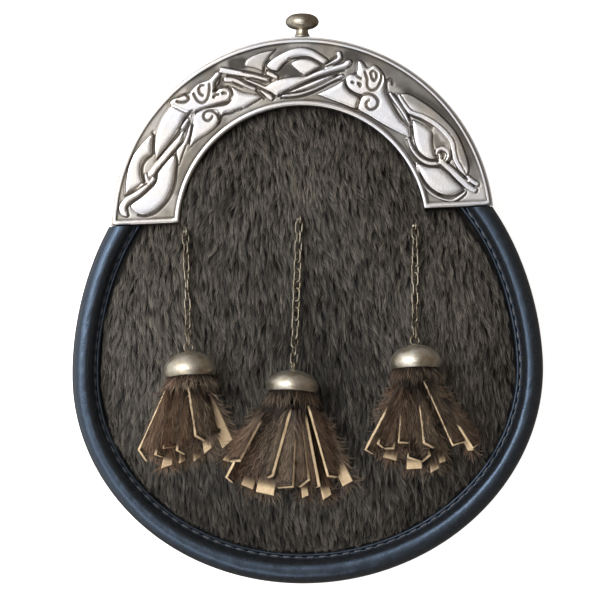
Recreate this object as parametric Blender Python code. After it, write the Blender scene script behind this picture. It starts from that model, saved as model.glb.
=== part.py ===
"""Dress sporran: a pouch with an arched metal cantle, a fur front and three chain tassels.

It lies on its back. +Z points from the back panel to the fur front, +Y from the pouch's
bottom to the knob on the cantle, +X to the wearer's left. The drawing's own centre is the
centre of the cantle's arch, so every piece hangs from an empty placed there.
"""

import math

import bmesh
import bpy
from mathutils import Matrix, Vector
from mathutils.bvhtree import BVHTree

MM = 0.001
GAP = 0.3 * MM

# Outline of the whole pouch, measured from the arch centre
ARCH_Y = 27.55 * MM
HALF_WIDTH = 94.4 * MM
WIDEST_Y = -55.0 * MM
LOWER_DROP = 86.4 * MM
UPPER_RISE = 104.0 * MM
TOP_RADIUS = 76.0 * MM

# Levels above the table
BACK_THICK = 2.5 * MM
GUSSET_TOP = 21.2 * MM
PANEL_LOW = 21.5 * MM
PANEL_TOP = 23.7 * MM
ROLL_LOW = PANEL_TOP + GAP
ROLL_TOP = 33.0 * MM
FUR_EDGE = 26.4 * MM
FUR_RISE = 15.0 * MM
FUR_THICK = 5.0 * MM
FUR_SWELL = 34.0 * MM
FUR_UPPER_REACH = 120.0 * MM
FRONT_MIDDLE_Y = -42.0 * MM

# Leather
LEATHER = 2.0 * MM
BACK_INSET = 1.0 * MM
PANEL_INSET = 2.0 * MM
GUSSET_INSET = 3.4 * MM
GUSSET_BOW = 1.6 * MM
MOUTH_ANGLE = math.radians(42.0)
TOP_CORNER_RISE = 13.2 * MM
STRAP_SLOT = (5.0 * MM, 30.0 * MM)
STRAP_SLOT_AT = (48.0 * MM, 36.0 * MM)
ROLL_WIDTH = 8.4 * MM
ROLL_BOTTOM_EXTRA = 2.2 * MM
LIP_WIDTH = 2.1 * MM
LIP_TOP = 26.1 * MM
FUR_INSET = ROLL_WIDTH + LIP_WIDTH + 0.5 * MM

# Cantle
CANTLE_OUTER = 76.0 * MM
CANTLE_INNER = 49.2 * MM
CANTLE_END_Y = 6.0 * MM
CANTLE_LOW = PANEL_TOP + GAP
CANTLE_UNDER = 27.4 * MM
CANTLE_FIELD = 29.6 * MM
CANTLE_RIM_TOP = 31.2 * MM
CANTLE_RIM = 1.7 * MM
CANTLE_WALL = 1.5 * MM
RELIEF_TOP = 31.0 * MM
RELIEF_SINK = 0.6 * MM
RELIEF_CREST = 0.62
RELIEF_STEP = 0.02 * MM

# Knob
KNOB_ANGLE = math.radians(87.6)
KNOB_HEAD_R = 6.7 * MM
KNOB_NECK_R = 2.4 * MM
KNOB_TOP_RADIUS = 86.35 * MM

# Chains and tassels
WIRE = 0.9 * MM
LINK_INNER_LENGTH = 4.15 * MM
LINK_INNER_WIDTH = 1.7 * MM
LINK_PITCH = LINK_INNER_LENGTH - GAP
EYE_INNER_R = 1.3 * MM
EYE_RISE = EYE_INNER_R + 0.35 * MM
EYE_FOOT_R = 1.7 * MM
EYE_FOOT_THICK = 0.8 * MM
LINK_REACH = 1.75 * MM
CHAIN_LIFT = 2.6 * MM
CHAIN_DROP_LENGTH = 9.0 * MM
LINK_FIRST_ROLL = 7.0
LINK_TWIST = 33.0
CHAIN_END_Y = 12.0 * MM
CAP_RADIUS = 10.7 * MM
CAP_HEIGHT = 10.3 * MM
CAP_WALL = 1.1 * MM
CAP_DIP = math.radians(7.0)
CAP_SEAT = 3.0 * MM
HEAD_RADIUS = 8.2 * MM
STRIP_THICK = 1.6 * MM
ROOT_SPREAD = 14.0 * MM
ROOT_HEIGHT = 3.8 * MM
UPPER_LAYER = 4.0 * MM
UPPER_BULGE = 2.0 * MM
LOWER_BULGE = 0.8 * MM
BUNDLE_SHARE = 0.42
BUNDLE_COVER = 1.5 * MM

# Tassels: name, cap centre x and y, lean of the chain in degrees, links, first and last
# angle of the fan in degrees from straight down, length from the cap's centre
TASSELS = (
    ("left", -45.7 * MM, -51.7 * MM, 1.0, 12, -32.0, 21.0, 43.0 * MM),
    ("centre", -7.3 * MM, -61.3 * MM, -5.5, 15, -33.0, 27.5, 46.5 * MM),
    ("right", 44.3 * MM, -53.6 * MM, -0.5, 12, -31.5, 26.0, 44.0 * MM),
)

# Strips of one tassel: place across the fan from 0 to 1, share of the tassel's length,
# width, lift of the tip over the fur, twist in degrees
STRIPS = (
    (0.0, 0.93, 5.5 * MM, 2.0 * MM, 14.0),
    (0.2, 0.99, 7.2 * MM, 1.6 * MM, 6.0),
    (0.4, 1.0, 7.2 * MM, 1.5 * MM, 0.0),
    (0.61, 1.0, 7.2 * MM, 1.5 * MM, 0.0),
    (0.81, 0.97, 6.8 * MM, 1.6 * MM, -6.0),
    (1.0, 0.87, 5.5 * MM, 2.0 * MM, -14.0),
    (0.12, 0.9, 6.5 * MM, 6.6 * MM, 12.0),
    (0.37, 0.92, 7.0 * MM, 7.2 * MM, 4.0),
    (0.62, 0.92, 7.0 * MM, 7.2 * MM, -4.0),
    (0.87, 0.87, 6.0 * MM, 6.6 * MM, -12.0),
)

# Raised ornament of the cantle. Each stroke is a row of stations along its spine: angle in
# degrees, radius in millimetres, half width in millimetres
STROKES = {
    "left rod": ((172.4, 71.0, 0.8), (171.0, 73.2, 1.0), (167.0, 69.6, 1.0), (161.8, 64.6, 1.0)),
    "left haunch": (
        (169.4, 67.6, 0.9),
        (168.0, 62.8, 3.7),
        (162.4, 59.0, 3.6),
        (154.0, 58.8, 3.0),
        (148.2, 59.6, 0.7),
    ),
    "left outer leaf": (
        (166.3, 71.6, 0.6),
        (161.0, 71.1, 2.7),
        (154.5, 71.4, 2.5),
        (149.2, 70.9, 2.2),
        (145.4, 71.2, 0.7),
    ),
    "left inner leaf": (
        (151.6, 65.2, 0.4),
        (147.0, 66.1, 2.2),
        (141.0, 66.9, 3.6),
        (135.5, 68.2, 3.1),
        (131.2, 68.3, 2.2),
    ),
    "left strand": ((158.6, 64.6, 0.8), (152.0, 62.7, 0.8), (144.0, 61.2, 1.2), (139.4, 61.6, 0.5)),
    "left shoulder": ((141.6, 56.4, 0.5), (136.5, 57.4, 1.8), (131.5, 59.4, 3.6), (128.6, 62.6, 2.0)),
    "left brow": ((125.4, 66.6, 1.0), (122.6, 72.0, 1.4), (118.6, 70.0, 1.5), (118.4, 66.2, 1.4)),
    "left muzzle": ((130.4, 66.0, 1.3), (124.6, 63.6, 1.7), (119.6, 62.9, 2.3), (116.2, 62.4, 1.7)),
    "left chest": ((122.6, 58.2, 0.6), (117.4, 57.0, 1.3), (112.4, 59.6, 3.5), (106.4, 57.0, 1.3)),
    "upper rib": ((114.6, 70.6, 0.8), (108.0, 66.5, 0.8), (100.8, 61.9, 0.8)),
    "middle rib": ((113.4, 68.0, 0.7), (107.5, 63.9, 0.8), (102.4, 60.7, 0.7)),
    "cross band": ((109.2, 63.2, 1.0), (104.6, 59.4, 1.2), (99.6, 55.2, 1.1)),
    "top petal": ((106.2, 68.6, 0.7), (103.4, 70.4, 2.1), (97.2, 72.8, 0.7)),
    "crescent": (
        (98.6, 63.4, 1.1),
        (97.8, 67.6, 1.7),
        (90.6, 70.8, 1.7),
        (83.4, 69.2, 1.4),
        (80.4, 66.0, 0.5),
    ),
    "inner drop": ((91.0, 66.5, 0.5), (87.6, 66.1, 1.4), (84.2, 65.2, 1.6), (82.2, 64.9, 0.5)),
    "centre plate": (
        (101.2, 58.4, 0.7),
        (96.6, 58.8, 2.1),
        (90.4, 59.2, 2.0),
        (83.4, 62.4, 0.9),
        (73.4, 69.9, 0.7),
    ),
    "lower rib": ((96.0, 54.4, 0.7), (88.0, 56.0, 0.8), (80.0, 60.4, 0.8), (73.6, 66.2, 0.7)),
    "right brow": ((64.8, 64.2, 0.9), (64.0, 70.2, 1.2), (60.4, 69.4, 1.3), (60.0, 64.4, 1.2)),
    "right nose": ((69.6, 70.6, 0.5), (67.0, 67.2, 1.6), (65.8, 64.4, 0.9)),
    "right muzzle": ((70.8, 63.0, 1.3), (66.2, 62.0, 2.0), (60.6, 61.6, 1.2), (56.4, 64.4, 1.6)),
    "right chest": ((75.4, 56.4, 0.6), (70.6, 57.0, 2.2), (65.0, 55.8, 1.9)),
    "right shoulder": ((62.6, 58.4, 2.6), (57.0, 58.4, 3.8), (48.0, 56.9, 2.5), (38.4, 56.5, 0.7)),
    "right outer leaf": (
        (52.4, 65.8, 0.5),
        (44.6, 66.8, 3.3),
        (37.0, 69.0, 2.3),
        (28.0, 70.4, 1.7),
        (21.6, 69.3, 2.0),
        (16.2, 68.9, 0.6),
    ),
    "right inner leaf": (
        (43.4, 62.1, 0.5),
        (39.6, 61.2, 2.6),
        (35.0, 59.8, 4.0),
        (30.4, 59.3, 3.0),
        (26.4, 60.6, 0.6),
    ),
    "right strand": ((53.8, 64.3, 0.8), (46.6, 61.4, 0.8), (40.2, 58.9, 0.8), (36.2, 54.8, 0.8)),
    "right rod": ((25.8, 60.9, 1.0), (18.0, 65.0, 1.0), (11.2, 69.4, 1.0)),
    "right haunch": ((12.4, 64.2, 0.9), (14.6, 60.4, 3.8), (19.4, 57.0, 3.6), (27.0, 54.2, 0.8)),
}

COLLECTION = "sporran_pouch"


# ---------------------------------------------------------------- scene helpers


def clear_scene():
    """Remove the objects and the collections that the open file holds."""
    for item in list(bpy.data.objects):
        bpy.data.objects.remove(item)
    for group in list(bpy.data.collections):
        bpy.data.collections.remove(group)


def new_collection(name):
    """Make a collection in the scene."""
    group = bpy.data.collections.new(name)
    bpy.context.scene.collection.children.link(group)
    return group


def finish(name, colour, roughness, metallic=0.0):
    """Make a Principled material from a colour, a roughness and a metallic value."""
    material = bpy.data.materials.new(name)
    material.use_nodes = True
    shader = material.node_tree.nodes["Principled BSDF"]
    shader.inputs["Base Color"].default_value = (*colour, 1.0)
    shader.inputs["Roughness"].default_value = roughness
    shader.inputs["Metallic"].default_value = metallic
    return material


class Workshop:
    """The collections, the arch-centre empty and the materials that every piece shares."""

    def __init__(self):
        self.parts = new_collection(COLLECTION)
        self.guides = new_collection("cutters")
        self.centre = bpy.data.objects.new("arch_centre", None)
        self.centre.location = (0.0, ARCH_Y, 0.0)
        self.parts.objects.link(self.centre)
        self.front = None
        bpy.context.view_layer.update()

    def place(self, name, mesh, material, smooth=None):
        """Put a mesh in the parts collection, under the arch centre."""
        piece = bpy.data.objects.new(name, mesh)
        mesh.materials.append(material)
        self.parts.objects.link(piece)
        piece.parent = self.centre
        if smooth is not None:
            mesh.shade_smooth()
            mesh.set_sharp_from_angle(angle=math.radians(smooth))
        return piece

    def guide(self, name, mesh):
        """Put a mesh in the cutters collection, hidden in renders."""
        piece = bpy.data.objects.new(name, mesh)
        self.guides.objects.link(piece)
        piece.parent = self.centre
        piece.hide_render = True
        piece.display_type = "WIRE"
        return piece

    def highest(self, x, y, reach):
        """Highest level of the fur front within reach of a point."""
        level = 0.0
        for k in range(9):
            angle = math.pi * k / 4.0
            spread = reach if k else 0.0
            start = Vector((x + spread * math.cos(angle), y + spread * math.sin(angle), 1.0))
            hit = self.front.ray_cast(start, Vector((0.0, 0.0, -1.0)))[0]
            if hit is not None:
                level = max(level, hit.z)
        return level


def fuse(piece, other, crossing=False, solver="EXACT"):
    """Join another mesh to a piece; crossing says that the other passes through itself."""
    modifier = piece.modifiers.new("fuse_" + other.name, "BOOLEAN")
    modifier.operation = "UNION"
    modifier.object = other
    modifier.solver = solver
    modifier.use_self = crossing


# ---------------------------------------------------------------- mesh helpers


def mesh_from(build, name):
    """Run build on an empty bmesh and return the mesh with its faces turned out."""
    work = bmesh.new()
    build(work)
    bmesh.ops.recalc_face_normals(work, faces=work.faces[:])
    mesh = bpy.data.meshes.new(name)
    work.to_mesh(mesh)
    work.free()
    return mesh


def loft(work, rings, capped=True):
    """Join rings of equally many points into a skin, with its two ends closed."""
    rows = [[work.verts.new(point) for point in ring] for ring in rings]
    count = len(rows[0])
    for near, far in zip(rows, rows[1:]):
        for k in range(count):
            after = (k + 1) % count
            work.faces.new((near[k], near[after], far[after], far[k]))
    if capped:
        work.faces.new(rows[0])
        work.faces.new(list(reversed(rows[-1])))
    return rows


def lathe(work, profile, sides, turn=None):
    """Turn a profile of (radius, height) points about Z; its first and last lie on the axis."""
    rings = []
    for radius, height in profile[1:-1]:
        ring = []
        for k in range(sides):
            angle = 2.0 * math.pi * k / sides
            ring.append(Vector((radius * math.cos(angle), radius * math.sin(angle), height)))
        rings.append(ring)
    rows = loft(work, rings, capped=False)
    for row, (_, height) in ((rows[0], profile[0]), (rows[-1], profile[-1])):
        pole = work.verts.new((0.0, 0.0, height))
        for k in range(sides):
            work.faces.new((row[k], row[(k + 1) % sides], pole))
    if turn is not None:
        bmesh.ops.transform(work, matrix=turn, verts=work.verts[:])


def ring_tube(work, centres, side, radius, wire_sides, frame):
    """Sweep a round wire along a closed loop of centres that lies in one plane."""
    rings = []
    count = len(centres)
    for k, centre in enumerate(centres):
        along = (centres[(k + 1) % count] - centres[k - 1]).normalized()
        outward = along.cross(side)
        ring = []
        for j in range(wire_sides):
            angle = 2.0 * math.pi * j / wire_sides
            offset = outward * math.cos(angle) + side * math.sin(angle)
            ring.append(frame @ (centre + offset * radius))
        rings.append(ring)
    rows = [[work.verts.new(point) for point in ring] for ring in rings]
    for k in range(count):
        near = rows[k]
        far = rows[(k + 1) % count]
        for j in range(wire_sides):
            after = (j + 1) % wire_sides
            work.faces.new((near[j], near[after], far[after], far[j]))


def frame_along(direction, roll):
    """Rotation whose Y runs along direction and whose Z starts upright, then rolls."""
    forward = direction.normalized()
    right = forward.cross(Vector((0.0, 0.0, 1.0))).normalized()
    upright = right.cross(forward)
    turned = Matrix.Rotation(roll, 3, forward)
    right = turned @ right
    upright = turned @ upright
    return Matrix((right, forward, upright)).transposed().to_4x4()


# ---------------------------------------------------------------- outlines


def side_point(angle, inset, flat_y=None):
    """Point of the pouch's side at an ellipse angle, moved in square to the outline."""
    rise = UPPER_RISE if math.sin(angle) > 0.0 else LOWER_DROP
    x = HALF_WIDTH * math.cos(angle)
    y = WIDEST_Y + rise * math.sin(angle)
    normal = Vector((math.cos(angle) / HALF_WIDTH, math.sin(angle) / rise)).normalized()
    x -= normal.x * inset
    y -= normal.y * inset
    return Vector((x, y if flat_y is None else flat_y))


def side_end_angle(inset, end_y):
    """Ellipse angle at which the side, moved in by inset, reaches the height end_y."""
    angle = math.asin((end_y - WIDEST_Y) / UPPER_RISE)
    for _ in range(6):
        normal_y = math.sin(angle) / UPPER_RISE
        normal_y /= math.hypot(math.cos(angle) / HALF_WIDTH, normal_y)
        angle = math.asin((end_y + normal_y * inset - WIDEST_Y) / UPPER_RISE)
    return angle


def bottom_share(share):
    """How fully a place along the side, from 0 to 1, belongs to the pouch's bottom."""
    return math.sin(math.pi * share) ** 4


def side_path(inset, end_y, steps, bottom_extra=0.0):
    """Points of the side from the right end, round the bottom, to the left end."""
    start = side_end_angle(inset, end_y)
    points = []
    for k in range(steps + 1):
        share = k / steps
        angle = start - (math.pi + 2.0 * start) * share
        depth = inset + bottom_extra * bottom_share(share)
        points.append(side_point(angle, depth, end_y if k in (0, steps) else None))
    return points


def arc_path(radius, first, last, steps):
    """Points of an arc about the arch centre, both ends included."""
    points = []
    for k in range(steps + 1):
        angle = first + (last - first) * k / steps
        points.append(Vector((radius * math.cos(angle), radius * math.sin(angle))))
    return points


def body_path(inset, mouth, side_steps, top_steps):
    """Open outline from the right of the mouth, down, round and up to its left."""
    radius = TOP_RADIUS - inset
    join = math.asin(TOP_CORNER_RISE / radius)
    right = arc_path(radius, mouth, join, top_steps)
    left = arc_path(radius, math.pi - join, math.pi - mouth, top_steps)
    return right + side_path(inset, 0.0, side_steps) + left


def fur_height(x, y):
    """Height of the fur's surface above the table at a point of the front."""
    reach_y = FUR_UPPER_REACH if y > WIDEST_Y else LOWER_DROP - FUR_INSET
    spread = math.hypot(x / (HALF_WIDTH - FUR_INSET), (y - WIDEST_Y) / reach_y)
    from_side = max(0.0, 1.0 - spread) * (HALF_WIDTH - FUR_INSET)
    inner = CANTLE_INNER - 2.0 * GAP
    if y > CANTLE_END_Y:
        from_cantle = inner - math.hypot(x, y)
    elif abs(x) > inner:
        from_cantle = CANTLE_END_Y - y
    else:
        from_cantle = math.hypot(min(0.0, abs(x) - inner), CANTLE_END_Y - y)
    swell = 1.0 - (1.0 - min(1.0, from_side / FUR_SWELL)) ** 2
    ease = 1.0 - (1.0 - min(1.0, max(0.0, from_cantle) / FUR_SWELL)) ** 2
    return FUR_EDGE + FUR_RISE * swell * (0.3 + 0.7 * ease)


# ---------------------------------------------------------------- leather


def make_back_panel(shop, leather):
    """Flat back with two upright slots for the strap."""
    curve = bpy.data.curves.new("back_outline", "CURVE")
    curve.dimensions = "2D"
    curve.fill_mode = "BOTH"
    curve.extrude = BACK_THICK / 2.0
    outline = body_path(BACK_INSET, math.pi / 2.0, 34, 9)[:-1]
    add_outline(curve, outline)
    slot_w, slot_h = STRAP_SLOT
    radius = slot_w / 2.0
    for side in (-1.0, 1.0):
        slot = []
        for end in (1.0, -1.0):
            centre = Vector((side * STRAP_SLOT_AT[0], STRAP_SLOT_AT[1] + end * (slot_h / 2.0 - radius)))
            for k in range(5):
                angle = math.pi * (k / 4.0) + (0.0 if end > 0.0 else math.pi)
                slot.append(centre + Vector((math.cos(angle), math.sin(angle))) * radius)
        add_outline(curve, slot)
    panel = bpy.data.objects.new("back_outline", curve)
    shop.parts.objects.link(panel)
    panel.location = (0.0, 0.0, BACK_THICK / 2.0)
    bpy.context.view_layer.update()
    evaluated = panel.evaluated_get(bpy.context.evaluated_depsgraph_get())
    mesh = bpy.data.meshes.new_from_object(evaluated)
    mesh.transform(panel.matrix_world)
    bpy.data.objects.remove(panel)
    work = bmesh.new()
    work.from_mesh(mesh)
    bmesh.ops.remove_doubles(work, verts=work.verts[:], dist=0.00001)
    bmesh.ops.recalc_face_normals(work, faces=work.faces[:])
    work.to_mesh(mesh)
    work.free()
    mesh.materials.clear()
    shop.place("back_panel", mesh, leather)


def add_outline(curve, points):
    """Add a closed straight-sided outline to a flat curve."""
    spline = curve.splines.new("POLY")
    spline.points.add(len(points) - 1)
    for slot, point in zip(spline.points, points):
        slot.co = (point.x, point.y, 0.0, 1.0)
    spline.use_cyclic_u = True


def make_gusset(shop, leather):
    """Wall between back and front, bowed outwards, open behind the top of the cantle."""
    low = BACK_THICK + GAP
    middle = (low + GUSSET_TOP) / 2.0
    levels = (
        (GUSSET_INSET, low),
        (GUSSET_INSET - GUSSET_BOW, middle),
        (GUSSET_INSET, GUSSET_TOP),
        (GUSSET_INSET + LEATHER, GUSSET_TOP),
        (GUSSET_INSET + LEATHER - GUSSET_BOW, middle),
        (GUSSET_INSET + LEATHER, low),
    )
    paths = []
    for inset, height in levels:
        path = body_path(inset, MOUTH_ANGLE, 28, 3)
        paths.append([Vector((point.x, point.y, height)) for point in path])
    rings = [list(ring) for ring in zip(*paths)]
    mesh = mesh_from(lambda work: loft(work, rings), "gusset")
    shop.place("gusset", mesh, leather, smooth=50)


def make_edge_roll(shop, leather):
    """Padded roll round the sides and the bottom, with a flat stitched lip inside it."""
    wide = ROLL_WIDTH
    extra = ROLL_BOTTOM_EXTRA
    section = (
        (0.05, 0.0, ROLL_LOW),
        (0.0, 0.0, ROLL_LOW + 3.0 * MM),
        (0.08, 0.0, ROLL_LOW + 6.2 * MM),
        (0.25, 0.0, ROLL_TOP - 1.0 * MM),
        (0.45, 0.0, ROLL_TOP),
        (0.68, 0.0, ROLL_TOP - 1.0 * MM),
        (0.88, 0.0, ROLL_TOP - 3.6 * MM),
        (1.0, 0.0, LIP_TOP - 0.2 * MM),
        (1.0, 0.9 * MM, LIP_TOP),
        (1.0, LIP_WIDTH, LIP_TOP - 0.3 * MM),
        (1.0, LIP_WIDTH, ROLL_LOW),
    )
    paths = []
    for part, beyond, height in section:
        path = side_path(part * wide + beyond, CANTLE_END_Y - GAP, 36, part * extra)
        paths.append([Vector((point.x, point.y, height)) for point in path])
    rings = [list(ring) for ring in zip(*paths)]
    mesh = mesh_from(lambda work: loft(work, rings), "edge_roll")
    shop.place("edge_roll", mesh, leather, smooth=40)


# ---------------------------------------------------------------- fur front


def front_stations():
    """Pairs of points round the front: the fur's foot and the panel's outer edge."""
    arch = CANTLE_INNER - 2.0 * GAP
    end_y = CANTLE_END_Y - 2.0 * GAP
    low = math.asin(end_y / arch)
    edge = TOP_RADIUS - PANEL_INSET
    outer_low = math.asin(end_y * 2.0 / edge)
    first = outer_low + math.radians(3.5)
    pairs = list(zip(
        arc_path(arch, math.pi - low, low, 16),
        arc_path(edge, math.pi - first, first, 16),
    ))
    side_foot = side_path(FUR_INSET, end_y, 28, ROLL_BOTTOM_EXTRA)
    side_edge = side_path(PANEL_INSET, end_y, 28)
    corner = Vector((arch * math.cos(low), end_y))
    halfway = (corner + side_foot[0]) / 2.0
    outer = arc_path(edge, outer_low, 0.0, 1)[0]
    pairs.append((halfway, outer))
    pairs.extend(zip(side_foot, side_edge))
    pairs.append((Vector((-halfway.x, halfway.y)), Vector((-outer.x, outer.y))))
    return pairs


def make_fur_front(shop, fur):
    """Front panel: flat leather edge, then the pile's dome, hollow behind."""
    pairs = front_stations()
    middle = Vector((0.0, FRONT_MIDDLE_Y))

    def flat(points, height):
        return [Vector((point.x, point.y, height)) for point in points]

    def towards_middle(part, drop):
        ring = []
        for foot, _ in pairs:
            point = foot.lerp(middle, part)
            ring.append(Vector((point.x, point.y, max(PANEL_LOW, fur_height(point.x, point.y) - drop))))
        return ring

    def build(work):
        rings = [towards_middle(part, 0.0) for part in (0.62, 0.34, 0.14, 0.012)]
        rings.append(flat([foot for foot, _ in pairs], PANEL_TOP))
        rings.append(flat([edge for _, edge in pairs], PANEL_TOP))
        rings.append(flat([edge for _, edge in pairs], PANEL_LOW))
        rings.append(flat([foot.lerp(middle, 0.05) for foot, _ in pairs], PANEL_LOW))
        rings.extend(towards_middle(part, FUR_THICK) for part in (0.2, 0.36, 0.64))
        rows = loft(work, rings, capped=False)
        for row, drop in ((rows[0], 0.0), (rows[-1], FUR_THICK)):
            height = fur_height(middle.x, middle.y) - drop
            pole = work.verts.new((middle.x, middle.y, height))
            for k, vertex in enumerate(row):
                work.faces.new((vertex, row[(k + 1) % len(row)], pole))

    mesh = mesh_from(build, "fur_front")
    shop.place("fur_front", mesh, fur, smooth=50)
    work = bmesh.new()
    work.from_mesh(mesh)
    shop.front = BVHTree.FromBMesh(work)
    work.free()


# ---------------------------------------------------------------- cantle


def cantle_frame(work):
    """Arched plate with raised rims, closed ends and a shallow channel behind."""
    steps = 26
    outer = CANTLE_OUTER
    inner = CANTLE_INNER
    rim = CANTLE_RIM
    wall = CANTLE_WALL
    bevel = 0.5 * MM
    end_depth = (0.0, CANTLE_RIM, CANTLE_RIM + 0.3 * MM)
    rings = []

    def section(solid):
        field = CANTLE_RIM_TOP - 0.1 * MM if solid else CANTLE_FIELD
        under = CANTLE_LOW + 0.3 * MM if solid else CANTLE_UNDER
        return (
            (outer, CANTLE_LOW),
            (outer, CANTLE_RIM_TOP - bevel),
            (outer - bevel, CANTLE_RIM_TOP),
            (outer - rim + bevel / 2.0, CANTLE_RIM_TOP),
            (outer - rim, field),
            (inner + rim, field),
            (inner + rim - bevel / 2.0, CANTLE_RIM_TOP),
            (inner + bevel, CANTLE_RIM_TOP),
            (inner, CANTLE_RIM_TOP - bevel),
            (inner, CANTLE_LOW),
            (inner + wall, CANTLE_LOW),
            (inner + wall + 0.1 * MM, under),
            (outer - wall - 0.1 * MM, under),
            (outer - wall, CANTLE_LOW),
        )

    def ring_at(row, height_y=None, share=None):
        ring = []
        for radius, height in row:
            low = math.asin((CANTLE_END_Y + end_depth[-1]) / radius)
            if share is None:
                angle = math.asin(abs(height_y) / radius)
                angle = math.pi - angle if height_y < 0.0 else angle
            else:
                angle = low + (math.pi - 2.0 * low) * share
            ring.append(Vector((radius * math.cos(angle), radius * math.sin(angle), height)))
        return ring

    for depth, solid in zip(end_depth, (True, True, False)):
        rings.append(ring_at(section(solid), height_y=CANTLE_END_Y + depth))
    for k in range(1, steps):
        rings.append(ring_at(section(False), share=k / steps))
    for depth, solid in zip(reversed(end_depth), (False, True, True)):
        rings.append(ring_at(section(solid), height_y=-(CANTLE_END_Y + depth)))
    loft(work, rings)


def stroke_point(station):
    """Plan point of a stroke's station."""
    angle = math.radians(station[0])
    radius = station[1] * MM
    return Vector((radius * math.cos(angle), radius * math.sin(angle)))


def stroke_solid(work, stations):
    """Raised bar with a flat top along a stroke's spine, sunk into the plate below."""
    spine = [stroke_point(station) for station in stations]
    rings = []
    for k, station in enumerate(stations):
        before = spine[max(0, k - 1)]
        after = spine[min(len(spine) - 1, k + 1)]
        along = (after - before).normalized()
        across = Vector((-along.y, along.x))
        half = station[2] * MM
        top = RELIEF_TOP - RELIEF_STEP * (k % 2)
        ring = []
        foot = CANTLE_FIELD - RELIEF_SINK
        for part, height in ((1.0, foot), (RELIEF_CREST, top), (-RELIEF_CREST, top), (-1.0, foot)):
            point = spine[k] + across * half * part
            ring.append(Vector((point.x, point.y, height)))
        rings.append(ring)
    loft(work, rings)


def make_cantle(shop, metal):
    """Metal arch with the beasts raised on its field."""
    cantle = shop.place("cantle", mesh_from(cantle_frame, "cantle"), metal, smooth=30)

    def relief(work):
        for stations in STROKES.values():
            stroke_solid(work, stations)

    ornament = shop.guide("cantle_relief", mesh_from(relief, "cantle_relief"))
    fuse(cantle, ornament, crossing=True)


def make_knob(shop, metal):
    """Turned finial on the top edge of the cantle."""
    outward = Vector((math.cos(KNOB_ANGLE), math.sin(KNOB_ANGLE), 0.0))
    foot = CANTLE_OUTER + GAP
    height = KNOB_TOP_RADIUS - foot
    head = KNOB_HEAD_R
    profile = (
        (0.0, 0.0),
        (KNOB_NECK_R + 0.7 * MM, 0.0),
        (KNOB_NECK_R, 0.9 * MM),
        (KNOB_NECK_R, height - 6.9 * MM),
        (head * 0.72, height - 6.2 * MM),
        (head * 0.96, height - 4.6 * MM),
        (head, height - 3.2 * MM),
        (head * 0.9, height - 1.5 * MM),
        (head * 0.55, height - 0.35 * MM),
        (0.0, height),
    )
    turn = outward.to_track_quat("Z", "X").to_matrix().to_4x4()
    middle = (CANTLE_LOW + CANTLE_RIM_TOP) / 2.0
    turn = Matrix.Translation(outward * foot + Vector((0.0, 0.0, middle))) @ turn
    mesh = mesh_from(lambda work: lathe(work, profile, 12, turn), "knob")
    shop.place("knob", mesh, metal, smooth=40)


# ---------------------------------------------------------------- chains and tassels


def loop_centres(length, width, steps):
    """Centre line of an oval link: two half circles joined by straights, in the XY plane."""
    radius = width / 2.0
    straight = (length - width) / 2.0
    centres = []
    half = steps // 2
    for end, start in ((1.0, 0.0), (-1.0, math.pi)):
        for k in range(half):
            angle = start + math.pi * k / (half - 1)
            x = radius * math.cos(angle)
            y = radius * math.sin(angle) + end * straight
            centres.append(Vector((x, y, 0.0)))
    return centres


def link_mesh(frame, name):
    """Oval wire link lying along the frame's Y."""
    centres = loop_centres(LINK_INNER_LENGTH + WIRE, LINK_INNER_WIDTH + WIRE, 10)
    side = Vector((0.0, 0.0, 1.0))
    return mesh_from(lambda work: ring_tube(work, centres, side, WIRE / 2.0, 5, frame), name)


def eye_tube(work, frame):
    """Round wire eye in the frame's XY plane."""
    radius = EYE_INNER_R + WIRE / 2.0
    centres = []
    for k in range(10):
        angle = 2.0 * math.pi * k / 10
        centres.append(Vector((math.cos(angle), math.sin(angle), 0.0)) * radius)
    ring_tube(work, centres, Vector((0.0, 0.0, 1.0)), WIRE / 2.0, 5, frame)


def link_roll(number, links):
    """Roll of a link about its chain: quarter turns from the upright eye, and a slow twist."""
    twist = LINK_FIRST_ROLL + LINK_TWIST * math.sin(math.pi * number / (links + 1))
    return math.radians(90.0 + 90.0 * (links + 1 - number) + twist)


def cap_pose(shop, x, y, lean):
    """Apex direction of a tassel cap, and its rim's centre clear of the fur."""
    turn = math.radians(lean)
    upward = Vector((-math.sin(turn), math.cos(turn), 0.0))
    axis = (upward * math.cos(CAP_DIP) - Vector((0.0, 0.0, math.sin(CAP_DIP)))).normalized()
    rim = Vector((x, y)) - Vector((upward.x, upward.y)) * CAP_HEIGHT / 2.0
    low = shop.highest(rim.x, rim.y, CAP_SEAT)
    centre = Vector((rim.x, rim.y, low + CAP_RADIUS + GAP))
    return axis, centre


def chain_route(shop, start, lean, top_y):
    """Points from the cap's eye up the fur: down to the fur first, then over its surface."""
    turn = math.radians(lean)
    heading = Vector((-math.sin(turn), math.cos(turn)))
    step = 0.5 * MM
    points = [start]
    distance = 0.0
    drop = start.z - shop.highest(start.x, start.y, LINK_REACH) - CHAIN_LIFT
    while points[-1].y < top_y:
        distance += step
        plan = Vector((start.x, start.y)) + heading * distance
        rest = shop.highest(plan.x, plan.y, LINK_REACH) + CHAIN_LIFT
        ease = math.exp(-((distance / CHAIN_DROP_LENGTH) ** 2))
        points.append(Vector((plan.x, plan.y, rest + drop * ease)))
    return points


def point_at(route, length):
    """Point and direction at a length along a route."""
    travelled = 0.0
    for near, far in zip(route, route[1:]):
        step = (far - near).length
        if travelled + step >= length:
            return near.lerp(far, (length - travelled) / step), (far - near).normalized()
        travelled += step
    return route[-1], (route[-1] - route[-2]).normalized()


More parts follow.
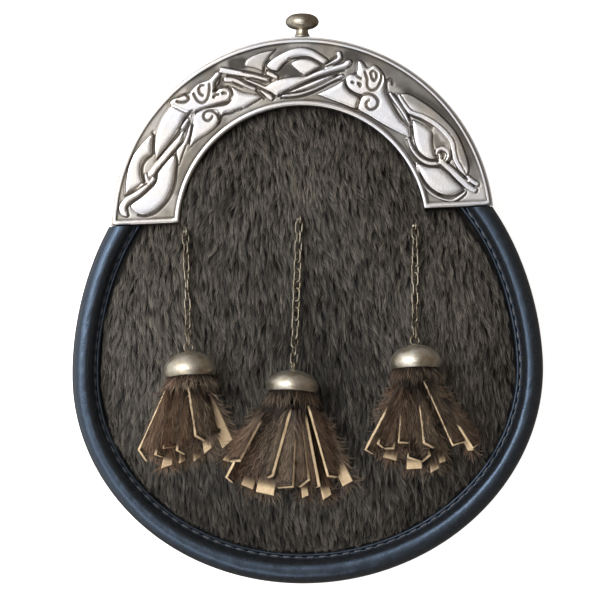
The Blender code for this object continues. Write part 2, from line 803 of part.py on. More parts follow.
def make_cap(shop, side, axis, centre, roll, metal):
    """Domed cap with an eye on its crown."""
    outer = []
    inner = []
    for k in range(1, 5):
        angle = math.radians(90.0 - 22.5 * k)
        outer.append((CAP_RADIUS * math.cos(angle), CAP_HEIGHT * math.sin(angle)))
        if k % 2 == 0:
            hollow = CAP_RADIUS - CAP_WALL
            inner.append((hollow * math.cos(angle), (CAP_HEIGHT - CAP_WALL) * math.sin(angle)))
    crown = (0.0, CAP_HEIGHT)
    profile = [crown] + outer + list(reversed(inner)) + [(0.0, CAP_HEIGHT - CAP_WALL * 1.4)]
    turn = axis.to_track_quat("Z", "X").to_matrix().to_4x4()
    turn = Matrix.Translation(centre) @ turn
    mesh = mesh_from(lambda work: lathe(work, profile, 14, turn), "tassel_cap_" + side)
    cap = shop.place("tassel_cap_" + side, mesh, metal, smooth=40)
    eye_centre = centre + axis * (CAP_HEIGHT + EYE_RISE)
    frame = Matrix.Translation(eye_centre) @ frame_along(axis, roll)
    eye = shop.guide("cap_eye_" + side, mesh_from(lambda work: eye_tube(work, frame), "cap_eye_" + side))
    fuse(cap, eye)
    return eye_centre


def make_chain(shop, side, eye_centre, lean, links, metal):
    """Links from the cap's eye up to a small eye on the fur."""
    route = chain_route(shop, eye_centre, lean, CHAIN_END_Y)
    first = EYE_INNER_R - GAP + LINK_INNER_LENGTH / 2.0
    for number in range(1, links + 1):
        place, heading = point_at(route, first + LINK_PITCH * (number - 1))
        frame = Matrix.Translation(place) @ frame_along(heading, link_roll(number, links))
        name = "chain_{}_{:02d}".format(side, links + 1 - number)
        shop.place(name, link_mesh(frame, name), metal, smooth=60)
    length = 2.0 * first + LINK_PITCH * (links - 1)
    place, heading = point_at(route, length)
    frame = Matrix.Translation(place) @ frame_along(heading, link_roll(links + 1, links))
    name = "chain_eye_" + side
    eye = shop.place(name, mesh_from(lambda work: eye_tube(work, frame), name), metal, smooth=50)
    profile = ((0.0, 0.0), (EYE_FOOT_R, 0.0), (EYE_FOOT_R, EYE_FOOT_THICK), (0.0, EYE_FOOT_THICK))
    low = shop.highest(place.x, place.y, EYE_FOOT_R) + GAP
    turn = Matrix.Translation((place.x, place.y, low))
    foot = shop.guide(name + "_foot", mesh_from(lambda work: lathe(work, profile, 8, turn), name + "_foot"))
    fuse(eye, foot)


def strip_frame(shop, pose, row, share):
    """Middle of a strip at a share of its way to the tip, with its run and its side."""
    centre, axis, fan, full_length = pose
    place, length_share, width, lift, twist = row
    turn = math.radians(fan[0] + (fan[1] - fan[0]) * place)
    along = Vector((math.sin(turn), -math.cos(turn), 0.0))
    middle = centre + axis * CAP_HEIGHT / 2.0
    tip = middle + along * full_length * length_share
    tip.z = shop.highest(tip.x, tip.y, width / 2.0) + lift
    raised = lift > UPPER_LAYER
    sideways = Vector((axis.y, -axis.x, 0.0)).normalized()
    start = centre + sideways * ROOT_SPREAD * (place - 0.5)
    start.z += (ROOT_HEIGHT if raised else -ROOT_HEIGHT) * (1.0 - 1.4 * (place - 0.5) ** 2)
    point = start.lerp(tip, share)
    bulge = (UPPER_BULGE if raised else LOWER_BULGE) * math.sin(math.pi * share)
    floor = shop.highest(point.x, point.y, width / 2.0) + lift
    point.z = max(point.z + bulge, floor)
    across = Matrix.Rotation(math.radians(twist) * share, 3, along) @ Vector((-along.y, along.x, 0.0))
    return point, along, across


def strip_solid(shop, work, pose, row):
    """One leather strip, from inside the bundle to its tip over the fur."""
    rings = []
    for share, swell in ((BUNDLE_SHARE - 0.12, 0.5), (0.66, 0.84), (1.0, 1.0)):
        point, along, across = strip_frame(shop, pose, row, share)
        face = along.cross(across)
        half = row[2] * swell / 2.0
        thick = STRIP_THICK / 2.0
        rings.append([point + across * half * u + face * thick * v
                      for u, v in ((1, 1), (-1, 1), (-1, -1), (1, -1))])
    loft(work, rings)


def bundle_solid(shop, work, pose):
    """Where the strips leave the cap they lie packed together, as one wedge."""
    lower = [row for row in STRIPS if row[3] < UPPER_LAYER]
    upper = [row for row in STRIPS if row[3] > UPPER_LAYER]
    below = (lower[0], lower[len(lower) // 2], lower[-1])
    above = (upper[-1], upper[len(upper) // 2], upper[0])
    rings = []
    for share in (0.0, 0.2, BUNDLE_SHARE):
        ring = []
        for rows, side in ((below, -1.0), (above, 1.0)):
            for row in rows:
                point = strip_frame(shop, pose, row, share)[0]
                ring.append(point + Vector((0.0, 0.0, side * BUNDLE_COVER)))
        rings.append(ring)
    loft(work, rings)


def make_tassel(shop, side, pose, hide):
    """Fan of strips fused to a round head inside the cap."""
    profile = (
        (0.0, 7.2 * MM),
        (HEAD_RADIUS * 0.62, 6.0 * MM),
        (HEAD_RADIUS, 2.4 * MM),
        (HEAD_RADIUS, -0.6 * MM),
        (HEAD_RADIUS * 0.8, -2.0 * MM),
        (0.0, -2.4 * MM),
    )
    turn = Matrix.Translation(pose[0]) @ pose[1].to_track_quat("Z", "X").to_matrix().to_4x4()
    name = "tassel_" + side
    tassel = shop.place(name, mesh_from(lambda work: lathe(work, profile, 12, turn), name), hide)
    bundle = mesh_from(lambda work: bundle_solid(shop, work, pose), name + "_bundle")
    fuse(tassel, shop.guide(name + "_bundle", bundle), solver="MANIFOLD")
    for number, row in enumerate(STRIPS, 1):
        strip = "{}_strip_{}".format(name, number)
        mesh = mesh_from(lambda work: strip_solid(shop, work, pose, row), strip)
        fuse(tassel, shop.guide(strip, mesh), solver="MANIFOLD")


# ---------------------------------------------------------------- assembly


def main():
    """Build every piece."""
    clear_scene()
    shop = Workshop()
    leather = finish("black_leather", (0.012, 0.013, 0.016), 0.42)
    fur = finish("grey_fur", (0.10, 0.09, 0.075), 0.9)
    silver = finish("antique_silver", (0.62, 0.60, 0.57), 0.3, 1.0)
    brass = finish("antique_brass", (0.40, 0.34, 0.24), 0.34, 1.0)
    hide = finish("tassel_hide", (0.09, 0.055, 0.035), 0.85)
    make_back_panel(shop, leather)
    make_gusset(shop, leather)
    make_fur_front(shop, fur)
    make_edge_roll(shop, leather)
    make_cantle(shop, silver)
    make_knob(shop, brass)
    for side, x, y, lean, links, first, last, length in TASSELS:
        axis, centre = cap_pose(shop, x, y, lean)
        eye_centre = make_cap(shop, side, axis, centre, link_roll(0, links), brass)
        make_chain(shop, side, eye_centre, lean, links, brass)
        make_tassel(shop, side, (centre, axis, (first, last), length), hide)


main()
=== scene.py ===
import math

import bmesh
import bpy
import numpy as np
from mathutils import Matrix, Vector
from mathutils.bvhtree import BVHTree


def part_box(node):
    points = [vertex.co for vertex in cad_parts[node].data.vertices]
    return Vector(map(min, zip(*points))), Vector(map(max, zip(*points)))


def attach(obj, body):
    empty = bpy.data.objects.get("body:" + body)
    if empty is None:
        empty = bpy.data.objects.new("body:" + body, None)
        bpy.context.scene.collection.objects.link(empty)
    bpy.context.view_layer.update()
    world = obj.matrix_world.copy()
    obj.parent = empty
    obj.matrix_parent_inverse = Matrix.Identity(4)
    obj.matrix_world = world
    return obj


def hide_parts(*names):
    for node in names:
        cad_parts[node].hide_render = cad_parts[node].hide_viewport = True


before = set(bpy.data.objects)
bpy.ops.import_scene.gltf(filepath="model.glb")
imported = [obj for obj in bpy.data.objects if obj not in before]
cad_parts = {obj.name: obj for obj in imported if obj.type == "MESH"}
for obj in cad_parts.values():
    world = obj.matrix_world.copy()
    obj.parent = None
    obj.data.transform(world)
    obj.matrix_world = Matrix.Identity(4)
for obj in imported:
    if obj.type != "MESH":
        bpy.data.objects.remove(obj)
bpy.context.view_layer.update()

# Everything is drawn in millimetres about the centre of the cantle's arch
MM = 0.001
ARCH_CENTRE = np.array((0.0, 27.55, 0.0))
SEED = 11
WAVES = 14
WELD = 0.00001
GAP = 0.3
UP = np.array((0.0, 0.0, 1.0))

# Outline of the pouch
HALF_WIDTH = 94.4
WIDEST_Y = -55.0
LOWER_DROP = 86.4
UPPER_RISE = 104.0
TOP_RADIUS = 76.0
TOP_CORNER_RISE = 13.2

# How the hanging pouch's outline leaves its ellipse: angle in degrees, width in radians, amount
OUTLINE_SWELL = ((222.0, 0.55, 1.5), (163.0, 0.24, -0.8), (14.0, 0.26, -0.8))

# Levels
BACK_THICK = 2.5
GUSSET_TOP = 21.2
PANEL_LOW = 21.5
PANEL_TOP = 23.7
ROLL_LOW = 24.0
ROLL_TOP = 33.0
FUR_EDGE = 26.4

# Roll and lip. The roll is highest at its crest, a share of its width from outside. On either
# side it falls to a base, the more squarely the higher the power.
ROLL_WIDTH = 9.1
ROLL_BOTTOM_EXTRA = 1.5
ROLL_CREST = 0.57
ROLL_STEPS = 28
LIP_WIDTH = 2.1
LIP_TOP = 26.1
ROLL_OUTER = (ROLL_LOW + 2.6, 2.3)
ROLL_INNER = (LIP_TOP - 0.9, 2.5)
ROLL_START = 0.01
SEAM_AT = 0.94  # the seam beside the roll, as a share of its width
# The lip past the seam: distance from it, level over the lip's top
LIP_PROFILE = (
    (0.3, -1.05), (0.6, -0.95), (0.85, -0.35), (1.2, 0.02), (1.6, 0.0), (1.95, -0.3), (2.15, -0.9),
)

# Stitches
STITCH_PITCH = 4.7
STITCH_LENGTH = 3.6
STITCH_RADIUS = 0.50
STITCH_AT = 0.985
STITCH_LEVEL = LIP_TOP - 0.95
BACK_SEAM_INSET = 4.6
BACK_STITCH_LEVEL = 0.12
SLOT_SEAM_OUTSET = 2.6

# Back and gusset
LEATHER = 2.0
BACK_INSET = 1.0
BACK_BEVEL = 0.6
STRAP_SLOT = (5.0, 30.0)
STRAP_SLOT_AT = (48.0, 36.0)
GUSSET_INSET = 3.4
GUSSET_BOW = 1.6
GUSSET_CREASE = 0.9
GUSSET_WELT = 0.35
GUSSET_WAVE = 0.22
GUSSET_STEPS = 19
GUSSET_MIDDLE = np.array((0.0, -30.0))
MOUTH_ANGLE = math.radians(42.0)

# Fur front
FUR_INSET = ROLL_WIDTH + LIP_WIDTH + 1.6
FUR_RISE = 15.0
FUR_SWELL = 34.0
FUR_UPPER_REACH = 120.0
FUR_OVERHANG = 0.4
FRONT_MIDDLE = np.array((0.0, -42.0))
FRONT_EDGE_INSET = 2.0
SKIN_DROP = 2.6
SKIN_UNDER_DROP = 5.0
LOCK_ACROSS = 1.0
LOCK_ALONG = 3.1
LOCK_JITTER = (0.6, 1.6)
LOCK_SPREAD = (0.52, 0.9)
LOCK_LENGTH = (5.2, 8.6)
LOCK_LIFT = (1.1, 2.5)
HAIRS_A_LOCK = 16
HAIR_WIDTH = (0.17, 0.30)
HAIR_DEPTH = 2.2
HAIR_SLICES = (("fur_lower", -150.0, -82.0), ("fur_middle", -82.0, -40.0), ("fur_upper", -40.0, 60.0))

# Cantle
CANTLE_OUTER = 76.7
CANTLE_INNER = 49.2
CANTLE_END_Y = 6.0
CANTLE_LEFT_LOWER = 1.5
CANTLE_LEFT_END_Y = CANTLE_END_Y - CANTLE_LEFT_LOWER
CANTLE_LOW = 24.0
FIELD_LEVEL = 29.5
FIELD_TARNISH = 0.33
RIM_TOP = 31.2
RIM_WIDTH = 2.35
RIM_LEDGE = 0.65
RIM_STEPS = 260
PLATE_INSET = RIM_WIDTH - 0.25
PLATE_END_INSET = RIM_WIDTH - 0.45
PLATE_UNDER = FIELD_LEVEL - 1.6
PLATE_ALONG = 820
PLATE_ACROSS = 118
SHAPE_MARGIN = 3.0
FAR_OUTSIDE = 9.0
BAR_GROW = 0.27
BAR_BEVEL = 0.14
LOBE_BEVEL = 0.22
FOOT_WIDTH = 0.38
FOOT_DEPTH = 0.20
FOOT_TARNISH = 0.16
LINE_DEPTH = 0.65
LINE_EDGE = 0.24
LINE_TARNISH = 0.80

# Knob, with its neck as pairs of radius and height
KNOB_ANGLE = math.radians(87.6)
KNOB_TOP = 86.35
KNOB_HEAD_RADIUS = 6.7
KNOB_HEAD_DEEP = 6.8
KNOB_HEAD_HALF = 3.25
KNOB_NECK = ((3.15, 0.0), (3.1, 0.35), (2.75, 0.8), (2.5, 1.5), (2.4, 2.4))

# Chains, with the button under an eye as pairs of radius and height
WIRE_RADIUS = 0.45
LINK_LENGTH = 5.05
LINK_INNER_LENGTH = 4.15
LINK_WIDTH = 2.6
EYE_RADIUS = 1.75
EYE_INNER_RADIUS = 1.3
EYE_RISE = 1.65
EYE_BUTTON = ((0.0, 0.0), (1.1, 0.0), (1.25, 0.2), (1.2, 0.5), (0.8, 0.7), (0.0, 0.75))
CHAIN_UNTWIST = math.radians(-22.0)

# Caps, with the stem on a crown as pairs of radius and height
CAP_RADIUS = 10.35
CAP_HEIGHT = 10.0
CAP_WALL = 1.1
CAP_BELLY = 0.22
CAP_DIP = math.radians(7.0)
CAP_SEAT = 3.0
CAP_SIDES = 72
CAP_STEM = ((0.0, -0.6), (1.5, -0.5), (1.45, 0.1), (0.9, 0.4), (0.0, 0.45))

# Tassels, with the head that the strips leave as pairs of radius and height
HIDE_THICK = 1.25
HIDE_BEVEL = 0.2
STRIP_WIDTH = 6.6
STRIP_CLEAR = 1.5
HEAD_RADIUS = 8.2
HEAD_PROFILE = ((0.0, 7.0), (5.0, 6.2), (7.6, 3.0), (8.2, 0.4), (7.0, -1.6), (0.0, -2.6))
TIP_AT = 0.84  # where a strip's tip starts to curl, as a share of its length
NEAR_HAIRS = 900
FAR_HAIRS = 420
COLLAR_HAIRS = 380

# Camera: the photograph's scale, turn and centre
PHOTO_PIXELS = 600
MM_PER_PIXEL = 0.4
PHOTO_TURN = math.radians(2.5)
PHOTO_CENTRE = (-2.24, -28.33)
ARCH_PIXEL = (302.5, 229.0)
LENS = 300.0
SENSOR = 36.0
FOCUS_LEVEL = 28.0

# Studio: the room is bright towards the window and dark on the other side
WINDOW_SIDE = (-0.90, 0.20, 0.39)
ROOM_LIGHT = (
    (0.0, (0.150, 0.122, 0.096)),
    (0.18, (0.25, 0.23, 0.21)),
    (0.38, (0.56, 0.555, 0.545)),
    (0.60, (0.80, 0.80, 0.79)),
    (1.0, (1.0, 1.0, 1.0)),
)
ROOM_STRENGTH = 0.9
# Name, place and size in metres, watts and colour
LIGHTS = (
    ("window", (-1.04, 0.68, 1.44), (1.60, 1.60), 16.0, (0.97, 0.985, 1.0)),
    ("low_window", (-0.92, -0.94, 1.60), (3.00, 0.85), 11.0, (0.96, 0.98, 1.0)),
    ("ceiling", (-0.24, 0.16, 2.4), (1.0, 1.0), 2.2, (0.98, 0.985, 1.0)),
    ("glint", (-0.84, 0.52, 1.90), (0.66, 0.66), 7.6, (1.0, 0.99, 0.97)),
)
LIGHT_AIM = Vector((0.0, 0.0, 0.03))
FLOOR_GLOW = 0.85
FLOOR_HALF = 8.0
FLOOR_LEVEL = -0.0004

# Colours along a ramp: place and colour
SILVER_SHADES = (
    (0.0, (0.78, 0.765, 0.765)),
    (0.20, (0.68, 0.66, 0.645)),
    (0.45, (0.42, 0.395, 0.36)),
    (0.72, (0.220, 0.204, 0.182)),
    (1.0, (0.090, 0.083, 0.073)),
)
SILVER_TINTS = ((0.38, (0.95, 0.96, 1.0)), (0.60, (1.0, 0.965, 0.92)))
BRASS_SHADES = ((0.30, (0.60, 0.50, 0.36)), (0.55, (0.76, 0.70, 0.59)), (0.75, (0.84, 0.80, 0.72)))
BRASS_DIRT = ((0.52, (1.0, 1.0, 1.0)), (0.70, (0.45, 0.41, 0.34)))
THREAD_SHADES = ((0.3, (0.055, 0.06, 0.07)), (0.7, (0.17, 0.18, 0.20)))
SKIN_SHADES = ((0.3, (0.010, 0.009, 0.008)), (0.7, (0.030, 0.027, 0.023)))
CREAM_SHADES = ((0.25, (0.68, 0.49, 0.29)), (0.55, (0.88, 0.68, 0.43)), (0.8, (0.95, 0.80, 0.57)))
FLOOR_SHADES = ((0.3, (0.90, 0.90, 0.90)), (0.7, (0.93, 0.93, 0.93)))
WHITE = (1.0, 1.0, 1.0)
DULL_AND_SHADED_METAL = (0.36, 0.35, 0.33)
TAN = (0.50, 0.33, 0.18)
WORN_AND_SHADED_TAN = (0.17, 0.105, 0.060)
HIDE_HAIR_SIDE = (0.030, 0.020, 0.014)
ROLL_BLACK = (0.018, 0.019, 0.021)
PANEL_BLACK = (0.020, 0.021, 0.024)
# Hair: its root, its middle and its tip, and what reddish hair is mixed with
GREY_HAIR = ((0.011, 0.0092, 0.0075), (0.051, 0.0437, 0.0355), (0.205, 0.180, 0.149))
BROWN_HAIR = ((0.022, 0.014, 0.009), (0.082, 0.056, 0.037), (0.290, 0.215, 0.145))
RED_HAIR = (0.125, 0.062, 0.034)


# ---------------------------------------------------------------- meshes


def to_row(points):
    """Points in millimetres about the arch centre, as metres in the row frame."""
    return (np.asarray(points, float) + ARCH_CENTRE) * MM


def unit(vectors):
    """Vectors scaled to a length of one."""
    return vectors / np.linalg.norm(vectors, axis=-1, keepdims=True)


def full_turn(count):
    """Angles of count even steps round a circle."""
    return np.linspace(0.0, 2.0 * math.pi, count + 1)[:-1]


def array_mesh(name, points, faces):
    """Mesh from an array of points and a list of face arrays, each of one size."""
    mesh = bpy.data.meshes.new(name)
    placed = to_row(points).astype(np.float32)
    mesh.vertices.add(len(placed))
    mesh.vertices.foreach_set("co", placed.ravel())
    faces = [np.asarray(part, np.int32) for part in faces]
    corners = np.concatenate([part.ravel() for part in faces])
    sizes = np.concatenate([np.full(len(part), part.shape[1], np.int32) for part in faces])
    starts = np.concatenate(([0], np.cumsum(sizes)[:-1])).astype(np.int32)
    mesh.loops.add(len(corners))
    mesh.loops.foreach_set("vertex_index", corners)
    mesh.polygons.add(len(sizes))
    mesh.polygons.foreach_set("loop_start", starts)
    mesh.update(calc_edges=True)
    mesh.validate()
    return mesh


def add_value(mesh, name, values):
    """Store one number a vertex, for the material to read."""
    layer = mesh.attributes.new(name, "FLOAT", "POINT")
    layer.data.foreach_set("value", np.asarray(values, np.float32))


def add_piece(name, mesh, material, stands_for=(), flat_from=None):
    """Put a smooth mesh in the scene as a piece, with sharp edges from an angle in degrees."""
    mesh.shade_smooth()
    if flat_from is not None:
        mesh.set_sharp_from_angle(angle=math.radians(flat_from))
    piece = bpy.data.objects.new(name, mesh)
    mesh.materials.append(material)
    bpy.context.scene.collection.objects.link(piece)
    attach(piece, "root")
    if stands_for:
        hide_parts(*stands_for)
    return piece


def grid_faces(rows, columns, wrap_rows=False, wrap_columns=False):
    """Quads of a grid of points stored row by row."""
    r = np.arange(rows if wrap_rows else rows - 1)
    c = np.arange(columns if wrap_columns else columns - 1)
    r, c = np.meshgrid(r, c, indexing="ij")
    here = r * columns
    after = (r + 1) % rows * columns
    c_after = (c + 1) % columns
    return np.stack([here + c, here + c_after, after + c_after, after + c], -1).reshape(-1, 4)


def fan_faces(count, pole, first=0):
    """Triangles from a ring of count points, which starts at first, to a pole."""
    k = np.arange(count)
    return np.stack((first + k, first + (k + 1) % count, np.full(count, pole)), -1)


class Parts:
    """Gathers separate shapes into one mesh."""

    def __init__(self):
        self.points = []
        self.faces = {}
        self.values = {}
        self.count = 0

    def add(self, points, *faces, **values):
        """Add a shape with its faces and its numbers for each point."""
        points = np.asarray(points, float).reshape(-1, 3)
        for part in faces:
            part = np.asarray(part, int)
            self.faces.setdefault(part.shape[1], []).append(part + self.count)
        for name, value in values.items():
            self.values.setdefault(name, []).append(np.broadcast_to(value, len(points)))
        self.points.append(points)
        self.count += len(points)

    def mesh(self, name):
        """The one mesh of all that was added."""
        faces = [np.concatenate(parts) for parts in self.faces.values()]
        mesh = array_mesh(name, np.concatenate(self.points), faces)
        for value, parts in self.values.items():
            add_value(mesh, value, np.concatenate(parts))
        return mesh


def turn_out(mesh, weld=0.0):
    """Turn a closed mesh's faces outwards, after joining points closer than weld metres."""
    work = bmesh.new()
    work.from_mesh(mesh)
    if weld:
        bmesh.ops.remove_doubles(work, verts=work.verts[:], dist=weld)
    bmesh.ops.recalc_face_normals(work, faces=work.faces[:])
    work.to_mesh(mesh)
    work.free()
    return mesh


def smooth_path(points, steps, closed=False):
    """Catmull-Rom curve through rows of numbers, with steps points a stretch."""
    points = np.asarray(points, float)
    if closed:
        rows = [np.roll(points, shift, 0) for shift in (1, 0, -1, -2)]
    else:
        padded = np.vstack((2 * points[0] - points[1], points, 2 * points[-1] - points[-2]))
        rows = [padded[:-3], padded[1:-2], padded[2:-1], padded[3:]]
    t = (np.arange(steps) / steps)[None, :, None]
    b, s, a, y = (part[:, None, :] for part in rows)
    curve = 0.5 * (2 * s + (a - b) * t + (2 * b - 5 * s + 4 * a - y) * t ** 2
                   + (3 * s - b - 3 * a + y) * t ** 3)
    curve = curve.reshape(len(rows[0]) * steps, -1)
    return curve if closed else np.vstack((curve, points[-1]))


# ---------------------------------------------------------------- materials


def set_stops(ramp, stops):
    """Give a colour ramp node its (place, colour) stops."""
    elements = ramp.color_ramp.elements
    while len(elements) < len(stops):
        elements.new(0.5)
    for element, (place, colour) in zip(elements, stops):
        element.position = place
        element.color = (*colour, 1.0)


class Shade:
    """A Principled material, with short ways to wire its nodes."""

    def __init__(self, name, **sockets):
        self.material = bpy.data.materials.new(name)
        self.material.use_nodes = True
        self.tree = self.material.node_tree
        self.shader = self.tree.nodes["Principled BSDF"]
        self.place = self.tree.nodes.new("ShaderNodeTexCoord").outputs["Object"]
        for socket, value in sockets.items():
            self.shader.inputs[socket.replace("_", " ")].default_value = value

    def node(self, kind, inputs=(), **settings):
        """Add a node with its settings and inputs; an input may be a value or a socket."""
        made = self.tree.nodes.new("ShaderNode" + kind)
        for name, value in settings.items():
            setattr(made, name, value)
        for name, value in dict(inputs).items():
            if isinstance(value, bpy.types.NodeSocket):
                self.tree.links.new(value, made.inputs[name])
            else:
                made.inputs[name].default_value = value
        return made

    def noise(self, size_mm, detail=2.0, roughness=0.5):
        """Noise whose features are about size_mm across."""
        inputs = {"Vector": self.place, "Scale": 1.0 / (size_mm * MM), "Detail": detail}
        inputs["Roughness"] = roughness
        return self.node("TexNoise", inputs).outputs["Fac"]

    def cells(self, size_mm, feature="F1"):
        """Voronoi distance with cells about size_mm across."""
        inputs = {"Vector": self.place, "Scale": 1.0 / (size_mm * MM)}
        return self.node("TexVoronoi", inputs, feature=feature).outputs["Distance"]

    def value(self, name):
        """A number stored on the mesh."""
        return self.node("Attribute", attribute_name=name).outputs["Fac"]

    def add(self, first, second, clamp=False):
        """The sum of two values or sockets."""
        made = self.node("Math", {0: first, 1: second}, operation="ADD", use_clamp=clamp)
        return made.outputs[0]

    def spread(self, source, low, high, to_low=0.0, to_high=1.0):
        """Map a value from one range to another, clamped."""
        ranges = {"From Min": low, "From Max": high, "To Min": to_low, "To Max": to_high}
        return self.node("MapRange", {"Value": source, **ranges}).outputs["Result"]

    def ramp(self, source, stops):
        """Colour ramp from (place, colour) stops."""
        made = self.node("ValToRGB", {"Fac": source})
        set_stops(made, stops)
        return made.outputs["Color"]

    def mix(self, share, first, second, blend="MIX"):
        """Mix two colours."""
        made = self.node("Mix", data_type="RGBA", blend_type=blend)
        for index, value in ((0, share), (6, first), (7, second)):
            if isinstance(value, bpy.types.NodeSocket):
                self.tree.links.new(value, made.inputs[index])
            else:
                made.inputs[index].default_value = value if index == 0 else (*value, 1.0)
        return made.outputs[2]

    def drive(self, socket, source):
        """Wire a value into the shader."""
        self.tree.links.new(source, self.shader.inputs[socket])

    def bump(self, height, depth_mm, strength=1.0, under=None):
        """Bump whose full height is depth_mm, over another bump if given."""
        inputs = {"Height": height, "Distance": depth_mm * MM, "Strength": strength}
        if under is not None:
            inputs["Normal"] = under
        return self.node("Bump", inputs).outputs["Normal"]


def silver_material():
    """Cast silver: polished on what stands up, blackened in what lies deep, and darker where shade is
    painted on the mesh.
    """
    shade = Shade("antique_silver", Metallic=1.0, Roughness=0.3)
    patch = shade.noise(5.0, 3.0)
    speck = shade.noise(0.5, 3.0, 0.65)
    # Darkening stored on the mesh: tarnish, and painted shade
    worn = shade.add(shade.value("tarnish_and_shade"), shade.spread(patch, 0.3, 0.75, -0.05, 0.07))
    worn = shade.add(worn, shade.spread(speck, 0.3, 0.8, -0.03, 0.04), clamp=True)
    side = shade.node("SeparateXYZ", {0: shade.place}).outputs[0]
    warmth = shade.add(shade.noise(16.0, 1.0), shade.spread(side, -0.07, 0.05, 0.10, -0.10))
    colour = shade.ramp(worn, SILVER_SHADES)
    shade.drive("Base Color", shade.mix(1.0, colour, shade.ramp(warmth, SILVER_TINTS), "MULTIPLY"))
    shade.drive("Roughness", shade.spread(worn, 0.0, 0.8, 0.27, 0.55))
    dents = shade.bump(shade.noise(1.6, 3.0), 0.05, 0.5)
    shade.drive("Normal", shade.bump(shade.noise(0.22, 2.0), 0.012, 0.5, dents))
    return shade.material


def brass_material(name, rough):
    """Polished metal gone grey and olive with age."""
    shade = Shade(name, Metallic=0.94, Roughness=rough)
    patch = shade.noise(3.5, 3.0)
    speck = shade.noise(0.6, 3.0, 0.6)
    colour = shade.ramp(patch, BRASS_SHADES)
    colour = shade.mix(0.6, colour, shade.ramp(speck, BRASS_DIRT), "MULTIPLY")
    # Dull metal, and on the caps painted shade towards the rim
    dull = shade.mix(shade.value("dull"), WHITE, DULL_AND_SHADED_METAL)
    shade.drive("Base Color", shade.mix(1.0, colour, dull, "MULTIPLY"))
    shade.drive("Roughness", shade.spread(patch, 0.3, 0.7, rough - 0.04, rough + 0.06))
    dents = shade.bump(shade.noise(2.2, 2.0), 0.05, 0.4)
    shade.drive("Normal", shade.bump(speck, 0.012, 0.5, dents))
    return shade.material


def leather_material(name, colour, grain_mm, rough):
    """Black hide: pebbled grain, fine creases, worn grey on the pebbles."""
    shade = Shade(
        name,
        Roughness=rough,
        IOR=1.65,
        Specular_IOR_Level=0.68,
        # Reflections tinted blue: painted colour of the blue window light
        Specular_Tint=(0.46, 0.67, 1.0, 1.0),
        Coat_Weight=0.16,
        Coat_Roughness=0.30,
    )
    pebble = shade.cells(grain_mm, "SMOOTH_F1")
    crease = shade.noise(grain_mm * 2.2, 4.0, 0.62)
    wide = shade.noise(14.0, 2.0)
    dark = tuple(part * 0.55 for part in colour)
    light = tuple(part * 1.9 for part in colour)
    shade.drive("Base Color", shade.ramp(crease, ((0.32, dark), (0.55, colour), (0.78, light))))
    shade.drive("Roughness", shade.spread(wide, 0.3, 0.7, rough - 0.03, rough + 0.04))
    first = shade.bump(crease, 0.10, 0.55)
    shade.drive("Normal", shade.bump(pebble, 0.10, 0.5, first))
    return shade.material


def thread_material():
    """Waxed black thread."""
    shade = Shade("black_thread", Roughness=0.45, Specular_IOR_Level=0.4)
    # Reflections tinted blue: painted colour of the blue window light
    shade.shader.inputs["Specular Tint"].default_value = (0.72, 0.84, 1.0, 1.0)
    twist = shade.noise(0.35, 2.0)
    shade.drive("Base Color", shade.ramp(twist, THREAD_SHADES))
    shade.drive("Normal", shade.bump(twist, 0.06, 0.6))
    return shade.material


def hair_material(name, colours, red=None):
    """Hair: darker at the root, lighter at the tip, each strand a little different."""
    sheen = {"Sheen_Weight": 0.12, "Sheen_Roughness": 0.4}
    shade = Shade(name, Roughness=0.52, Specular_IOR_Level=0.38, **sheen)
    colour = shade.ramp(shade.value("along"), tuple(zip((0.0, 0.45, 0.95), colours)))
    if red is not None:
        colour = shade.mix(shade.value("red"), colour, red)
    bright = shade.spread(shade.value("tone"), 0.0, 1.0, 0.25, 1.75)
    bright = shade.node("HueSaturation", {"Color": colour, "Value": bright})
    shade.drive("Base Color", bright.outputs["Color"])
    return shade.material


def skin_material():
    """Dark hide that the front's hair grows from."""
    shade = Shade("front_skin", Roughness=0.85, Specular_IOR_Level=0.2)
    grain = shade.noise(1.2, 3.0)
    shade.drive("Base Color", shade.ramp(grain, SKIN_SHADES))
    shade.drive("Normal", shade.bump(grain, 0.3, 0.8))
    return shade.material


def strip_material():
    """Tanned cream on the flesh side and the cut edges, dark on the hair side, darkened by wear and by
    painted shadow.
    """
    shade = Shade("tassel_hide", Roughness=0.72, Specular_IOR_Level=0.28)
    suede = shade.noise(0.5, 3.0, 0.6)
    cloud = shade.noise(3.0, 2.0)
    cream = shade.ramp(suede, CREAM_SHADES)
    tan = shade.mix(shade.spread(cloud, 0.45, 0.75, 0.0, 0.5), cream, TAN)
    tan = shade.mix(shade.value("worn"), tan, WORN_AND_SHADED_TAN)
    shade.drive("Base Color", shade.mix(shade.value("hair_side"), tan, HIDE_HAIR_SIDE))
    shade.drive("Normal", shade.bump(suede, 0.12, 0.6))
    return shade.material


# ---------------------------------------------------------------- outlines


def outline_swell(angle):
    """How far the pouch stands out of a true ellipse, in millimetres, at ellipse angles."""
    swell = 0.0
    for degrees, width, amount in OUTLINE_SWELL:
        turn = np.cos(angle - math.radians(degrees)) - 1.0
        swell = swell + amount * np.exp(turn / width ** 2)
    return swell


def side_point(angle, inset):
    """Points of the pouch's side at ellipse angles, moved in square to the outline."""
    inset = inset - outline_swell(angle)
    rise = np.where(np.sin(angle) > 0.0, UPPER_RISE, LOWER_DROP)
    edge = np.stack((HALF_WIDTH * np.cos(angle), WIDEST_Y + rise * np.sin(angle)), -1)
    normal = unit(np.stack((np.cos(angle) / HALF_WIDTH, np.sin(angle) / rise), -1))
    return edge - normal * np.asarray(inset)[..., None]


